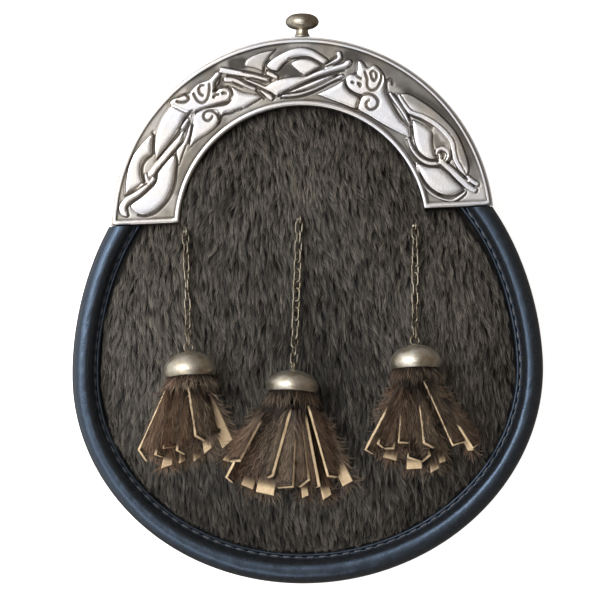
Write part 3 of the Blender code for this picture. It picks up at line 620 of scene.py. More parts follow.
def side_end_angle(inset, end_y):
    """Ellipse angle at which the side, moved in by inset, reaches the height end_y."""
    angle = math.asin((end_y - WIDEST_Y) / UPPER_RISE)
    for _ in range(6):
        normal_y = math.sin(angle) / UPPER_RISE
        normal_y /= math.hypot(math.cos(angle) / HALF_WIDTH, normal_y)
        angle = math.asin((end_y + normal_y * inset - WIDEST_Y) / UPPER_RISE)
    return angle


def bottom_share(share):
    """How fully a place along the side, from 0 to 1, belongs to the pouch's bottom."""
    return np.sin(np.pi * share) ** 4


def side_path(inset, end_y, steps, bottom_extra=0.0, left_lower=0.0):
    """Points of the side from the right end, round the bottom, to the left end."""
    start = side_end_angle(inset, end_y)
    finish = math.pi + side_end_angle(inset, end_y - left_lower)
    share = np.arange(steps + 1) / steps
    angle = start - (start + finish) * share
    path = side_point(angle, inset + bottom_extra * bottom_share(share))
    path[[0, -1], 1] = end_y, end_y - left_lower
    return path


def arc_path(radius, first, last, steps):
    """Points of an arc about the arch centre, both ends included."""
    angle = np.linspace(first, last, steps + 1)
    return np.stack((radius * np.cos(angle), radius * np.sin(angle)), -1)


def body_path(inset, mouth, side_steps, top_steps):
    """Open outline from the right of the mouth, down, round and up to its left."""
    radius = TOP_RADIUS - inset
    join = math.asin(TOP_CORNER_RISE / radius)
    right = arc_path(radius, mouth, join, top_steps)
    left = arc_path(radius, math.pi - join, math.pi - mouth, top_steps)
    return np.vstack((right, side_path(inset, 0.0, side_steps), left))


def fur_height(x, y):
    """Height of the fur's surface above the table."""
    x = np.asarray(x, float)
    y = np.asarray(y, float)
    wide = HALF_WIDTH - FUR_INSET
    reach_y = np.where(y > WIDEST_Y, FUR_UPPER_REACH, LOWER_DROP - FUR_INSET)
    from_side = np.maximum(0.0, 1.0 - np.hypot(x / wide, (y - WIDEST_Y) / reach_y)) * wide
    swell = 1.0 - (1.0 - np.minimum(1.0, from_side / FUR_SWELL)) ** 2
    ease = 1.0 - (1.0 - np.clip(cantle_distance(x, y) / FUR_SWELL, 0.0, 1.0)) ** 2
    return FUR_EDGE + FUR_RISE * swell * (0.3 + 0.7 * ease)


def cantle_distance(x, y):
    """Distance in plan from the cantle's edge, negative under the cantle."""
    inner = CANTLE_INNER - 2.0 * GAP
    beside = np.abs(x) - inner
    below = CANTLE_END_Y - y
    corner = np.hypot(np.minimum(0.0, beside), below)
    return np.where(y > CANTLE_END_Y, inner - np.hypot(x, y), np.where(beside > 0.0, below, corner))


def side_distance(x, y):
    """Distance in plan inside the leather lip, negative on the leather."""
    wide = HALF_WIDTH - FUR_INSET
    share = np.clip(0.5 + (WIDEST_Y - y) / (2.0 * LOWER_DROP), 0.0, 1.0)
    lower = LOWER_DROP - FUR_INSET - ROLL_BOTTOM_EXTRA * share
    deep = np.where(y > WIDEST_Y, UPPER_RISE - FUR_INSET, lower)
    inside = (1.0 - np.hypot(x / wide, (y - WIDEST_Y) / deep)) * wide
    inside += outline_swell(np.arctan2((y - WIDEST_Y) / deep, x / wide))
    return np.where(y > CANTLE_END_Y, CANTLE_INNER, inside)


# ---------------------------------------------------------------- cantle

# Shapes of the ornament: name, form, rise over the field, softness of its edge, tarnish and
# stations. A station is a place in the photograph's pixels, read one by one, and for a bar, a
# line or a dark patch its half width in millimetres. A later shape lies over an earlier one, and
# a dark patch's rise is how much it darkens, by tarnish and by painted shade: in recesses, on lobes, and
# as holes.
RELIEF = (
    ("left rim shade", "shade_and_patina", 0.25, 0.9, 0, (
        (113.4, 219.6, 0.3), (115.9, 194.1, 0.3), (121, 168.6, 0.3), (130.6, 143.1, 0.35),
        (144.6, 121.4, 0.4), (159.9, 103.6, 0.4), (176.5, 88.3, 0.5), (196.9, 74.2, 0.4),
        (214.8, 65.3, 0.4),)),
    ("left eye shade", "shade_and_patina", 0.28, 1, 0, (
        (189.3, 88.3, 0.5), (202, 77.4, 0.9), (213.5, 71.7, 0.8),)),
    ("snout shade", "shade_and_patina", 0.42, 0.9, 0, (
        (218, 74.2, 0.5), (219.9, 80.6, 0.9), (221.2, 87, 0.4),)),
    ("top left hole", "shade_and_patina", 0.66, 1.2, 0, (
        (233.9, 64, 1.2), (241.6, 64, 1.2),)),
    ("petal shade", "shade_and_patina", 0.22, 1.6, 0, (
        (242.1, 54, 1), (256.1, 47.7, 1.6), (271.4, 47.7, 1.6), (281.6, 50.2, 2),)),
    ("crescent hole", "shade_and_patina", 0.5, 1.4, 0, (
        (279.1, 73.2, 1), (286.7, 69.3, 1.6), (296.9, 74.4, 1),)),
    ("top right shade", "shade_and_patina", 0.2, 1.8, 0, (
        (314.8, 47.7, 1), (326.3, 50.2, 1.4), (333.9, 54, 1.4), (345.4, 54, 2.2), (351.8, 64.2, 1.2),
        (351.8, 71.9, 0.8),)),
    ("right rim shade", "shade_and_patina", 0.4, 1.8, 0, (
        (348.5, 56.4, 0.8), (371.4, 58.9, 1), (389.3, 70.4, 1.8), (405.9, 83.2, 2.2), (422.4, 97.2, 2),
        (437.8, 111.2, 1.8), (451.8, 126.5, 1.6), (462, 144.4, 1.3), (469.6, 162.2, 1.3),
        (474.7, 178.8, 0.9),)),
    ("ear shade", "shade_and_patina", 0.12, 1.2, 0, (
        (394.4, 92.1, 1.4), (404.6, 88.3, 1.6),)),
    ("right inner shade", "shade_and_patina", 0.15, 1.2, 0, (
        (307.7, 97.8, 0.6), (333.2, 101, 0.8), (361.2, 112.5, 0.5), (389.3, 132.9, 0.8),
        (405.9, 146.9, 1), (414.8, 164.8, 1),)),
    ("right leaf hole", "shade_and_patina", 0.4, 0.8, 0, (
        (435.2, 136.7, 0.6), (438.4, 144.4, 0.9), (442.9, 144.4, 0.5),)),
    ("left inner shade", "shade_and_patina", 0.2, 1.4, 0, (
        (222.4, 121.4, 0.8), (205.9, 138, 1.2), (191.8, 155.9, 1.2), (181.6, 175, 1),
        (177.8, 190.3, 0.8),)),
    ("bottom shade", "shade_and_patina", 0.1, 1.4, 0, (
        (166.3, 213.3, 1), (157.4, 217.1, 0.6),)),
    ("left web", "lobe", 0.7, 0.7, 0.1, (
        (176.5, 150.8), (182.9, 143.1), (186.7, 134.2), (188.6, 127.8), (191.2, 123.3), (190.8, 131.6),
        (189.3, 139.3), (185.7, 146.9), (182.3, 155.9), (178.8, 165.4), (177.2, 158.4),)),
    ("left haunch", "lobe", 1.2, 2.6, 0.02, (
        (174.9, 154.3), (174.9, 154.3), (169.5, 158.4), (162.5, 166.7), (157.4, 174.4), (156.1, 182),
        (151, 188.4), (142.1, 196.7), (130.9, 205), (132.5, 210.1), (138.3, 213.9), (145.9, 214.8),
        (154.8, 211.4), (163.8, 203.7), (170.4, 192.9), (174.2, 180.1), (176.3, 167.3), (176.8, 159.1),)),
    ("left outer leaf", "lobe", 1.1, 2, 0.04, (
        (153.3, 132.3), (153.3, 132.3), (147.4, 137.8), (140.2, 145.4), (133.4, 154.6), (129.1, 164.8),
        (126.5, 176.3), (125.3, 187.8), (125.5, 194.8), (125.5, 194.8), (131.9, 190.9), (138.3, 187.1),
        (143.1, 183.3), (141.1, 175.6), (140.8, 167.3), (143.1, 160.7), (147.4, 156.5), (151.4, 154.3),
        (152, 146.9), (152.6, 139.3),)),
    ("left shoulder", "lobe", 1.05, 1.8, 0.05, (
        (193.8, 113.1), (192.7, 124), (191.1, 135.5), (189.3, 148.5), (189.3, 148.5), (196.9, 140.8),
        (207.1, 134.2), (215.4, 127.8), (219.9, 121.4), (221.2, 116.3), (218.6, 111.2), (209.7, 109.3),
        (200.8, 111.2),)),
    ("left chest", "lobe", 1.2, 2.2, 0.01, (
        (231.4, 87), (244.1, 92.7), (256.9, 94.9), (261, 98.2), (251.8, 104.2), (241.6, 109.9),
        (231.4, 112.8), (225.6, 113.5), (222.4, 116.3), (221.2, 116.3), (218.6, 111.2), (209.7, 109.9),
        (200.8, 111.9), (194.4, 116.3), (193.8, 113.8), (202, 109.9), (214.8, 106.8), (227.6, 104.2),
        (231.4, 99.7), (232.9, 94.6),)),
    ("left inner leaf", "lobe", 1.15, 2.4, 0.03, (
        (156.1, 159.9), (156.1, 159.9), (154.6, 149.5), (155.1, 138), (158, 127.8), (162.5, 117.6),
        (167.6, 109.9), (173.3, 103.6), (181.6, 101), (188, 104.8), (189.3, 111.2), (184.8, 117.6),
        (181.6, 125.3), (177.2, 131.6), (171.4, 139.9), (163.8, 150.1),)),
    ("left head", "lobe", 1.2, 1.6, 0.03, (
        (169.5, 104.2), (172.7, 99.1), (181.6, 95.7), (189.3, 92.7), (193.8, 87.6), (198.9, 83.4),
        (205.9, 80.6), (210.7, 78.3), (215.4, 73), (220.5, 71), (220.5, 75.5), (216.7, 80.6),
        (214.8, 86.4), (215.4, 92.1), (219.9, 88.3), (227.6, 87.6), (231.4, 91.5), (232.7, 97.2),
        (228.8, 101.7), (214.8, 106.1), (202, 109.9), (194.4, 112.5), (188, 113.1), (181.6, 110.6),
        (175.3, 107.4),)),
    ("left upper rod", "bar", 1.2, 0.4, 0.03, (
        (183.5, 132.9, 0.7), (181, 138, 0.9), (171.4, 148.9, 1), (161.2, 161, 1), (151, 174.4, 1),)),
    ("left lower rod", "bar", 1.2, 0.4, 0.02, (
        (147.8, 183.3, 1), (138.3, 192.2, 1.15), (128.7, 199.2, 1.2), (123, 206.2, 1.2),
        (123, 212.2, 1.1), (126.5, 214.5, 0.8),)),
    ("left collar", "bar", 1.15, 0.4, 0.02, (
        (146.2, 175, 0.5), (147.4, 180.1, 0.6), (150.4, 182.7, 0.55), (153.6, 178.8, 0.6),)),
    ("left sliver", "bar", 0.9, 0.4, 0.05, (
        (182.3, 128.1, 0.45), (185.2, 123.3, 0.55), (188, 119.5, 0.35),)),
    ("petal", "lobe", 0.85, 1.6, 0.36, (
        (244.9, 66.1), (245.7, 61), (251, 56.6), (262.5, 52.1), (275.5, 49.9), (275.5, 49.9),
        (269.5, 56.6), (265.7, 63.6), (263.8, 71.2), (256.1, 68.7), (249.7, 67.4),)),
    ("crescent", "lobe", 1.15, 1.6, 0.05, (
        (266.6, 66.8), (268.2, 63), (273.3, 58.5), (281.6, 53.4), (291.8, 48.9), (302, 47.4),
        (312.2, 49.6), (321.2, 54.7), (328.2, 60.4), (325, 64.2), (321.2, 63.6), (314.8, 59.8),
        (307.1, 57.2), (298.2, 57.2), (290.6, 59.8), (283.5, 64.9), (277.8, 71.2), (271.4, 70),)),
    ("inner drop", "lobe", 1.15, 1.6, 0.02, (
        (290.8, 64.2), (295.7, 60.4), (304.6, 58.9), (313.5, 61), (320.5, 66.1), (314.8, 70.6),
        (307.4, 74.7), (300.8, 73.4), (295, 68.7),)),
    ("foot", "bar", 1, 0.4, 0.06, (
        (268.2, 73.4, 0.6), (272.1, 75.1, 0.75), (276.5, 77, 0.5),)),
    ("left bar", "bar", 1.15, 0.4, 0.02, (
        (222.7, 70.4, 1), (231.9, 72.1, 0.95), (244.6, 74.4, 0.85), (257.4, 77.6, 0.8),
        (268.2, 80.6, 0.75),)),
    ("second bar", "bar", 1, 0.4, 0.08, (
        (226.1, 79.8, 0.8), (234.4, 80.6, 0.8), (243.4, 84, 0.7), (254.8, 89.1, 0.5),)),
    ("cross band", "lobe", 1.1, 0.9, 0.03, (
        (259.9, 90), (266.3, 90.8), (273.3, 96.1), (272.4, 101), (267.6, 98.9), (263.1, 94.2),)),
    ("centre plate", "lobe", 1.2, 2, 0.02, (
        (244, 79.8), (244, 79.8), (251, 80.6), (258.7, 83.1), (266.1, 85.9), (272.1, 82.1),
        (282.3, 78.6), (294.4, 77), (305.2, 76.7), (313.5, 72.9), (323.1, 69.1), (333.9, 65.9),
        (342.9, 63), (346.7, 60.2), (351.5, 60.4), (350.8, 65.5), (345.4, 68.8), (333.3, 72.1),
        (322.4, 75.7), (312.2, 79.3), (302, 84.3), (291.8, 89.5), (282.9, 93.3), (277.2, 96.8),
        (277.2, 96.8), (271.4, 93.3), (263.8, 89.5), (254.2, 84.9),)),
    ("upper rib", "lobe", 1.1, 0.9, 0.02, (
        (289.3, 92.6), (296.9, 88.5), (308.4, 83.4), (322.4, 78), (337.5, 73.8), (337.5, 73.8),
        (330.1, 78.9), (321.2, 84), (309.7, 88.5), (298.2, 91.7),)),
    ("lower rib", "bar", 1.05, 0.4, 0.03, (
        (282.9, 96.1, 0.35), (295, 95.1, 0.5), (304.6, 92.6, 0.55), (314.8, 88.5, 0.55),
        (326.3, 82.7, 0.55), (335.2, 78.3, 0.5), (342.2, 76, 0.4),)),
    ("top hook", "bar", 1, 0.4, 0.06, (
        (325.6, 67, 0.5), (332.7, 63.6, 0.75), (339.3, 59.1, 0.8), (339, 54, 0.8),)),
    ("right chest", "lobe", 1.15, 2, 0.02, (
        (315.9, 94.4), (315.9, 94.4), (326.8, 89.5), (337, 84.4), (344, 80.6), (345.7, 87),
        (351, 92.7), (358.9, 97.8), (359.7, 101), (356.1, 108.9), (343.4, 104.8), (328.1, 99.1),)),
    ("right head", "lobe", 1.2, 2.2, 0.02, (
        (357.7, 61.5), (362.5, 62.1), (367.6, 67.9), (374, 65.3), (379.7, 69.1), (384.2, 76.1),
        (385.7, 83.4), (385.2, 92.1), (389.3, 100.4), (394.6, 109.3), (400.8, 119.5), (409.1, 126.5),
        (411, 138.3), (411, 138.3), (399.5, 133.5), (384.2, 125.5), (371.4, 117.6), (357.4, 108.9),
        (358.9, 101), (360.6, 96.2), (353.6, 92.7), (347.8, 88.3), (344.9, 80.6), (347.2, 76.1),
        (351, 74.2), (355.1, 74.5), (357.1, 70.4),)),
    ("right outer leaf", "lobe", 1, 0.6, 0.17, (
        (396.7, 94.6), (396.7, 94.6), (408.4, 94), (421.2, 100.8), (433.3, 109.3), (444.8, 119.5),
        (454.6, 130.6), (461, 141.8), (464.8, 152), (468.1, 162.2), (468.6, 171.2), (465.8, 176.9),
        (461, 171.2), (455, 161.6), (452.4, 152), (451.1, 143.1), (444.8, 133.5), (435.5, 125),
        (423.1, 117.3), (412.2, 114), (408.4, 113.5), (402.7, 104.8),)),
    ("right leaf shade", "shade_and_patina", 0.42, 2.2, 0, (
        (409.7, 97.2, 0.4), (422.4, 104.2, 0.9), (435.2, 113.8, 1.1), (446.7, 125.3, 1.1),
        (456.2, 138, 0.9), (462, 152, 0.7), (465.8, 162.2, 0.3),)),
    ("right inner leaf", "lobe", 1.1, 1.9, 0.03, (
        (412, 119.9), (412, 119.9), (421.2, 123.7), (431.4, 131.6), (432.1, 140.6), (433.2, 149.5),
        (435.7, 158.7), (427.6, 159.2), (419.3, 152.7), (414.8, 143.1), (412.9, 131.6),)),
    ("right haunch band", "lobe", 0.8, 1, 0.1, (
        (415.4, 162.2), (419.9, 164.8), (421.2, 177.6), (428.8, 189), (440.3, 196.7), (453.1, 198.6),
        (464.5, 190.9), (465.8, 194.1), (455, 202), (442.9, 200.5), (428.8, 193.5), (419.9, 181.4),
        (416.3, 171.2),)),
    ("right haunch", "lobe", 1.2, 2.6, 0.02, (
        (418, 164.5), (427.6, 166.7), (439, 168), (446.7, 172.7), (454.6, 180.4), (461.7, 188),
        (459.4, 192.6), (450.5, 195.2), (440.3, 193.9), (430.1, 187.5), (423.1, 178.8), (419.3, 171.2),)),
    ("right strand", "bar", 1, 0.4, 0.03, (
        (390.3, 94, 0.45), (396.3, 102.3, 0.6), (402, 109.9, 0.65), (407.8, 119.5, 0.65),
        (410.7, 125.3, 0.4),)),
    ("strand turn", "bar", 1, 0.4, 0.05, (
        (407.1, 139.3, 0.55), (410.7, 148.2, 0.65), (418.6, 158.4, 0.7), (428.8, 163.3, 0.7),
        (438.4, 163.5, 0.6),)),
    ("right rod", "bar", 1.2, 0.4, 0.03, (
        (440.1, 160.7, 0.8), (448, 167.3, 1), (458.2, 177.6, 1.05), (467.1, 185.5, 1.1),
        (474.5, 190.1, 0.9),)),
    ("right stub", "bar", 1, 0.4, 0.06, (
        (467.7, 177.6, 0.7), (471.6, 181.4, 0.9), (477, 184.2, 0.7),)),
    ("right hook", "bar", 1.15, 0.4, 0.03, (
        (436.2, 153.6, 0.6), (438, 150.1, 0.6), (442.6, 148.5, 0.65), (447.3, 151.4, 0.7),
        (449, 155.6, 0.6), (446.7, 159.9, 0.45),)),
    ("hook centre", "bar", 1, 0.4, 0.1, (
        (439.3, 154.6, 0.35), (440.1, 158.4, 0.4),)),
    ("right leaf edge", "bar", 1.2, 0.5, 0, (
        (399, 96, 0.5), (404, 104.5, 0.7), (409.6, 111.6, 0.8), (414.6, 114, 0.8),
        (423.8, 117.2, 0.85), (436, 124.6, 0.85), (445.4, 133.3, 0.85), (452, 142.8, 0.85),
        (453.6, 151.6, 0.85), (456, 160.8, 0.85), (461, 169.4, 0.7), (464.8, 175.2, 0.4),)),
)

# Lines cut into the ornament: name and stations
LINES = (
    ("left leaf line", (
        (152.6, 132.9, 0.3), (154.1, 139.3, 0.38), (153.6, 148.2, 0.4), (152.3, 154.8, 0.4),
        (146.6, 159.9, 0.38), (142.7, 166.7, 0.4), (142.3, 175, 0.4), (144.6, 182.7, 0.35),)),
    ("left rod line", (
        (126.1, 196, 0.3), (131.9, 193.1, 0.38), (139.5, 188.4, 0.38), (146.6, 183.9, 0.34),)),
    ("left rod lower line", (
        (128.3, 214.5, 0.3), (127.4, 207.5, 0.4), (130.6, 202.4, 0.4), (139.5, 196.7, 0.38),
        (149.1, 189, 0.42), (154.8, 183.3, 0.4), (156.8, 176.9, 0.38), (157.4, 171.2, 0.38),
        (166.3, 161, 0.36), (176.5, 148.9, 0.36), (181.9, 141.2, 0.36), (184.4, 132.9, 0.36),
        (188, 125.3, 0.36), (189.9, 121.4, 0.3),)),
    ("inner leaf line", (
        (157.1, 159.1, 0.34), (165.1, 150.1, 0.38), (172.7, 140.6, 0.38), (178.4, 132.9, 0.38),
        (180.6, 126.5, 0.34), (185.7, 118.9, 0.36), (189.9, 112.8, 0.38), (192.9, 111, 0.3),)),
    ("left web line", (
        (192.9, 125.3, 0.34), (190.8, 134.8, 0.36), (188, 143.1, 0.34),)),
    ("left haunch line", (
        (175.3, 154.8, 0.3), (177.3, 162.2, 0.36), (176.3, 172.4, 0.36), (175.3, 183.9, 0.3),
        (171.4, 195.4, 0.3), (164.4, 205, 0.34), (156.1, 212.6, 0.36), (145.9, 216.1, 0.34),
        (138.3, 215.3, 0.2),)),
    ("lip line", (
        (195.7, 112.9, 0.42), (199.4, 110.6, 0.4), (204.9, 108.3, 0.36), (211.3, 106.5, 0.38),
        (218.2, 104.4, 0.42), (224.2, 102.8, 0.45), (227.9, 101.6, 0.45), (230.6, 98.4, 0.42),
        (231.8, 94.3, 0.42), (231.1, 90.2, 0.42), (228.3, 86.9, 0.4),)),
    ("left curl", (
        (219.4, 119.1, 0.36), (218.2, 115.9, 0.36), (215.9, 113.1, 0.36), (212.7, 111, 0.36),
        (209, 111, 0.36), (205.6, 112.9, 0.38), (204, 116.1, 0.38), (205.1, 119.3, 0.38),
        (208.3, 120.9, 0.38), (211.6, 119.3, 0.36), (212.9, 116.6, 0.3),)),
    ("curl outer line", (
        (218.7, 114, 0.3), (221, 117.7, 0.36), (220, 121.4, 0.4), (218.7, 123.7, 0.4),)),
    ("left chest line", (
        (221.9, 116.3, 0.34), (225.1, 114, 0.36), (231.1, 113.1, 0.36), (237, 110.4, 0.34),
        (242, 108.5, 0.34),)),
    ("left ear hook", (
        (185.8, 94.7, 0.34), (188.6, 96.6, 0.42), (189.1, 99.6, 0.44), (186.5, 101.9, 0.44),
        (182.4, 102.5, 0.42), (177.3, 101.6, 0.34),)),
    ("left ear fold", (
        (178.4, 97.4, 0.2), (184.2, 94.9, 0.26), (189.9, 92.7, 0.26),)),
    ("left eye line", (
        (194.1, 93.8, 0.36), (195.7, 97, 0.36), (198, 100.7, 0.36), (201.7, 102.8, 0.38),
        (205.4, 102.1, 0.36), (208.1, 98.4, 0.34), (209.5, 93.4, 0.34), (210, 88.8, 0.32),
        (209.9, 84.2, 0.26),)),
    ("left eye ring", (
        (204.2, 85.6, 0.32), (201.7, 85.7, 0.36), (199.6, 88.1, 0.4), (199.5, 91.1, 0.4),
        (200.9, 94.1, 0.38), (203.4, 95.7, 0.36),)),
    ("left brow line", (
        (221, 78.2, 0.4), (220.5, 83.3, 0.45), (217.8, 86, 0.4), (215.2, 89.2, 0.36),)),
    ("left teeth", (
        (214.3, 97, 0.5), (216.4, 95.2, 0.34), (218.7, 94.7, 0.42),)),
    ("left nostril", (
        (222.8, 93.4, 0.4), (224.6, 93.1, 0.48), (226.7, 93.4, 0.3),)),
    ("snout line", (
        (213.4, 91.1, 0.3), (217.8, 88.3, 0.34), (222.8, 87.2, 0.34), (226.9, 87.6, 0.3),)),
    ("petal line", (
        (268.9, 60, 0.4), (265.4, 63.2, 0.42), (264.3, 68.3, 0.42), (263.8, 73.8, 0.38),)),
    ("left bar top line", (
        (243.2, 71.5, 0.3), (248.7, 72.4, 0.4), (255.5, 73.8, 0.38), (263.8, 76.1, 0.4),
        (269.3, 77.9, 0.4),)),
    ("left bar low line", (
        (248.2, 78.4, 0.3), (253.7, 78.8, 0.36), (259.2, 80.2, 0.36), (267, 82.3, 0.42),
        (271.2, 79.3, 0.5),)),
    ("foot line", (
        (267, 70.3, 0.3), (272.1, 71.5, 0.34), (276.7, 72.9, 0.4),)),
    ("plate line", (
        (228, 75.8, 0.3), (236.7, 77.2, 0.45), (243.2, 80.7, 0.5), (248.7, 84.3, 0.48),
        (256.5, 87.1, 0.46), (264.7, 90.8, 0.44), (271.6, 94, 0.4), (274.4, 98.1, 0.44),)),
    ("second bar line", (
        (233.1, 82.5, 0.26), (238.1, 84.8, 0.34), (243.2, 87.1, 0.3),)),
    ("cross band line", (
        (256.5, 90.8, 0.4), (260.1, 94, 0.4), (264.3, 98.6, 0.42),)),
    ("plate lower line", (
        (278.8, 96.1, 0.34), (286.7, 91.7, 0.4), (296.9, 86.6, 0.38), (308.4, 81.5, 0.4),
        (321.2, 76.7, 0.4), (332.7, 73.4, 0.38), (344.1, 70.4, 0.34),)),
    ("rib line", (
        (289.3, 93.3, 0.3), (300.8, 91.7, 0.36), (311, 88.5, 0.38), (322.4, 83.6, 0.38),
        (332.7, 78.3, 0.38), (338.4, 75.1, 0.34),)),
    ("lowest line", (
        (281.6, 98.2, 0.26), (296.9, 97.1, 0.34), (308.4, 94.2, 0.38), (319.9, 89.1, 0.38),
        (331.4, 83.1, 0.36), (341.6, 78.9, 0.3),)),
    ("drop line", (
        (289.3, 59.1, 0.3), (298.2, 57.6, 0.34), (308.4, 57.6, 0.34), (316.1, 61, 0.36),
        (323.1, 66.1, 0.38),)),
    ("plate upper line", (
        (306.5, 75.1, 0.3), (313.5, 71.6, 0.4), (322.4, 67.8, 0.4), (330.1, 65.5, 0.34),
        (337.8, 63, 0.36), (342.9, 59.1, 0.4),)),
    ("hook line", (
        (325.6, 64.2, 0.34), (331.4, 60.4, 0.4), (336.5, 56.6, 0.3),)),
    ("right chest line", (
        (344.9, 80.2, 0.4), (345.6, 84.8, 0.42), (348.6, 89.4, 0.42), (353.2, 92.8, 0.42),
        (357.7, 94.7, 0.4), (361, 95.8, 0.42),)),
    ("right curl", (
        (357.1, 108.9, 0.34), (358.9, 102.6, 0.4), (361, 96.7, 0.46), (367, 94.1, 0.42),
        (373.3, 95.3, 0.44), (377.8, 100, 0.46), (378.1, 104.8, 0.46), (375, 108.7, 0.42),
        (370.5, 109.7, 0.4), (367, 107, 0.38), (366.8, 102.9, 0.36), (369.5, 100.5, 0.3),)),
    ("right eye line", (
        (365.3, 72.2, 0.36), (366.5, 75.6, 0.38), (367.6, 79.7, 0.36), (367.6, 85.3, 0.36),
        (369.2, 88.9, 0.38), (372.9, 90.4, 0.4), (377, 88.7, 0.4), (380, 84.3, 0.4),
        (381.6, 79.3, 0.36), (381.8, 75.6, 0.3),)),
    ("right eye ring", (
        (373.6, 71, 0.32), (371.4, 73.3, 0.4), (372.2, 77.9, 0.4), (374.7, 80.7, 0.42),
        (376.8, 77.9, 0.4), (376.8, 74.2, 0.36), (374.7, 71.5, 0.32),)),
    ("brow notch", (
        (355.4, 73.3, 0.34), (357.7, 76.5, 0.38), (361.4, 78.8, 0.36),)),
    ("right nostril", (
        (352.2, 82.5, 0.36), (353.8, 83, 0.4),)),
    ("right mouth", (
        (358.2, 83.4, 0.34), (360.3, 84.8, 0.6), (360.5, 86.6, 0.36),)),
    ("right ear hook", (
        (386.2, 87.5, 0.36), (386, 83.4, 0.42), (387.6, 80.7, 0.44), (390.3, 79.7, 0.42),
        (392.6, 82, 0.4), (392.6, 84.8, 0.34),)),
    ("ear line", (
        (386.2, 88.5, 0.4), (387.6, 92.1, 0.36),)),
    ("strand notch", (
        (387.4, 94, 0.34), (390.8, 102.3, 0.4), (395, 109.9, 0.55), (400.8, 118.9, 0.6),
        (407.8, 126.5, 0.44),)),
    ("strand line", (
        (394.1, 94.6, 0.34), (398.9, 101.7, 0.36), (404, 109.3, 0.38), (409.1, 117.6, 0.42),
        (411.2, 126.5, 0.42), (410.7, 136.7, 0.42), (412.5, 145, 0.42), (418, 152.7, 0.42),
        (427.6, 159.4, 0.42), (436.5, 160.7, 0.4),)),
    ("right leaf line", (
        (408.4, 115.1, 0.4), (414.8, 117, 0.4), (423.7, 121.4, 0.4), (432, 127.8, 0.42),)),
    ("turn line", (
        (406.5, 139.9, 0.34), (409.7, 149.5, 0.32), (416.7, 159.1, 0.34), (427.6, 166.1, 0.4),
        (439, 167.1, 0.42), (446.7, 171.8, 0.4), (455, 180.1, 0.4), (462.6, 187.8, 0.4),
        (461, 192.6, 0.4), (450.5, 196.4, 0.36), (439, 195.2, 0.3),)),
    ("hook outer line", (
        (450.8, 150.8, 0.3), (451.1, 157.1, 0.42), (448.2, 162.9, 0.42),)),
    ("hook inner line", (
        (440.9, 152, 0.4), (443.5, 154.8, 0.44), (442.2, 158.4, 0.34),)),
    ("hook side line", (
        (434.6, 150.8, 0.3), (435.5, 157.1, 0.36), (438, 161.2, 0.36),)),
    ("right rod line", (
        (446.9, 162.2, 0.34), (455, 169.3, 0.4), (463.3, 175.6, 0.4), (467.1, 179.5, 0.38),)),
    ("haunch band line", (
        (419.3, 173.7, 0.26), (425.6, 185.5, 0.3), (435.2, 193.1, 0.32), (442.9, 196, 0.3),)),
    ("stub line", (
        (469.6, 182.7, 0.3), (474.7, 187.1, 0.34),)),
)


def polar(angle_degrees, radius):
    """Plan point at an angle and a radius about the arch centre."""
    angle = np.radians(angle_degrees)
    return np.stack((radius * np.cos(angle), radius * np.sin(angle)), -1)


def from_photo(pixel_x, pixel_y):
    """Plan point in millimetres shown at a pixel of the photograph."""
    right = (pixel_x - ARCH_PIXEL[0]) * MM_PER_PIXEL
    up = (ARCH_PIXEL[1] - pixel_y) * MM_PER_PIXEL
    turned_x = right * math.cos(PHOTO_TURN) + up * math.sin(PHOTO_TURN)
    turned_y = up * math.cos(PHOTO_TURN) - right * math.sin(PHOTO_TURN)
    return turned_x, turned_y


def bar_depth(points, spine):
    """Depth of points inside a bar whose spine rows are x, y and half width."""
    best = np.full(len(points), -FAR_OUTSIDE)
    for near, far in zip(spine[:-1], spine[1:]):
        run = far[:2] - near[:2]
        length = max(1e-9, float(run @ run))
        share = np.clip((points - near[:2]) @ run / length, 0.0, 1.0)
        away = points - near[:2] - share[:, None] * run
        half = near[2] + (far[2] - near[2]) * share
        best = np.maximum(best, half - np.hypot(away[:, 0], away[:, 1]))
    return best


def lobe_depth(points, outline):
    """Depth of points inside a closed outline, negative outside."""
    nearest = np.full(len(points), FAR_OUTSIDE ** 2)
    inside = np.zeros(len(points), bool)
    x, y = points.T
    for near, far in zip(outline, np.roll(outline, -1, 0)):
        run = far - near
        share = np.clip((points - near) @ run / max(1e-9, float(run @ run)), 0.0, 1.0)
        away = points - near - share[:, None] * run
        nearest = np.minimum(nearest, (away ** 2).sum(1))
        crosses = (near[1] > y) != (far[1] > y)
        rise = far[1] - near[1]
        at = near[0] + run[0] * (y - near[1]) / (rise if rise else 1e-9)
        inside ^= crosses & (x < at)
    return np.sqrt(nearest) * np.where(inside, 1.0, -1.0)


def shape_depth(form, stations, points):
    """Depth of points inside one shape of the ornament, negative outside."""
    rows = np.array([(*from_photo(*station[:2]), *station[2:]) for station in stations])
    lobe = form == "lobe"
    spine = smooth_path(rows, 4, closed=True) if lobe else smooth_path(rows, 5)
    if form == "bar":
        spine[:, 2] += BAR_GROW
    reach = SHAPE_MARGIN + (0.0 if lobe else spine[:, 2].max())
    low = spine[:, :2].min(0) - reach
    high = spine[:, :2].max(0) + reach
    near = ((points > low) & (points < high)).all(1)
    depth = np.full(len(points), -FAR_OUTSIDE)
    depth[near] = (lobe_depth if lobe else bar_depth)(points[near], spine)
    return depth


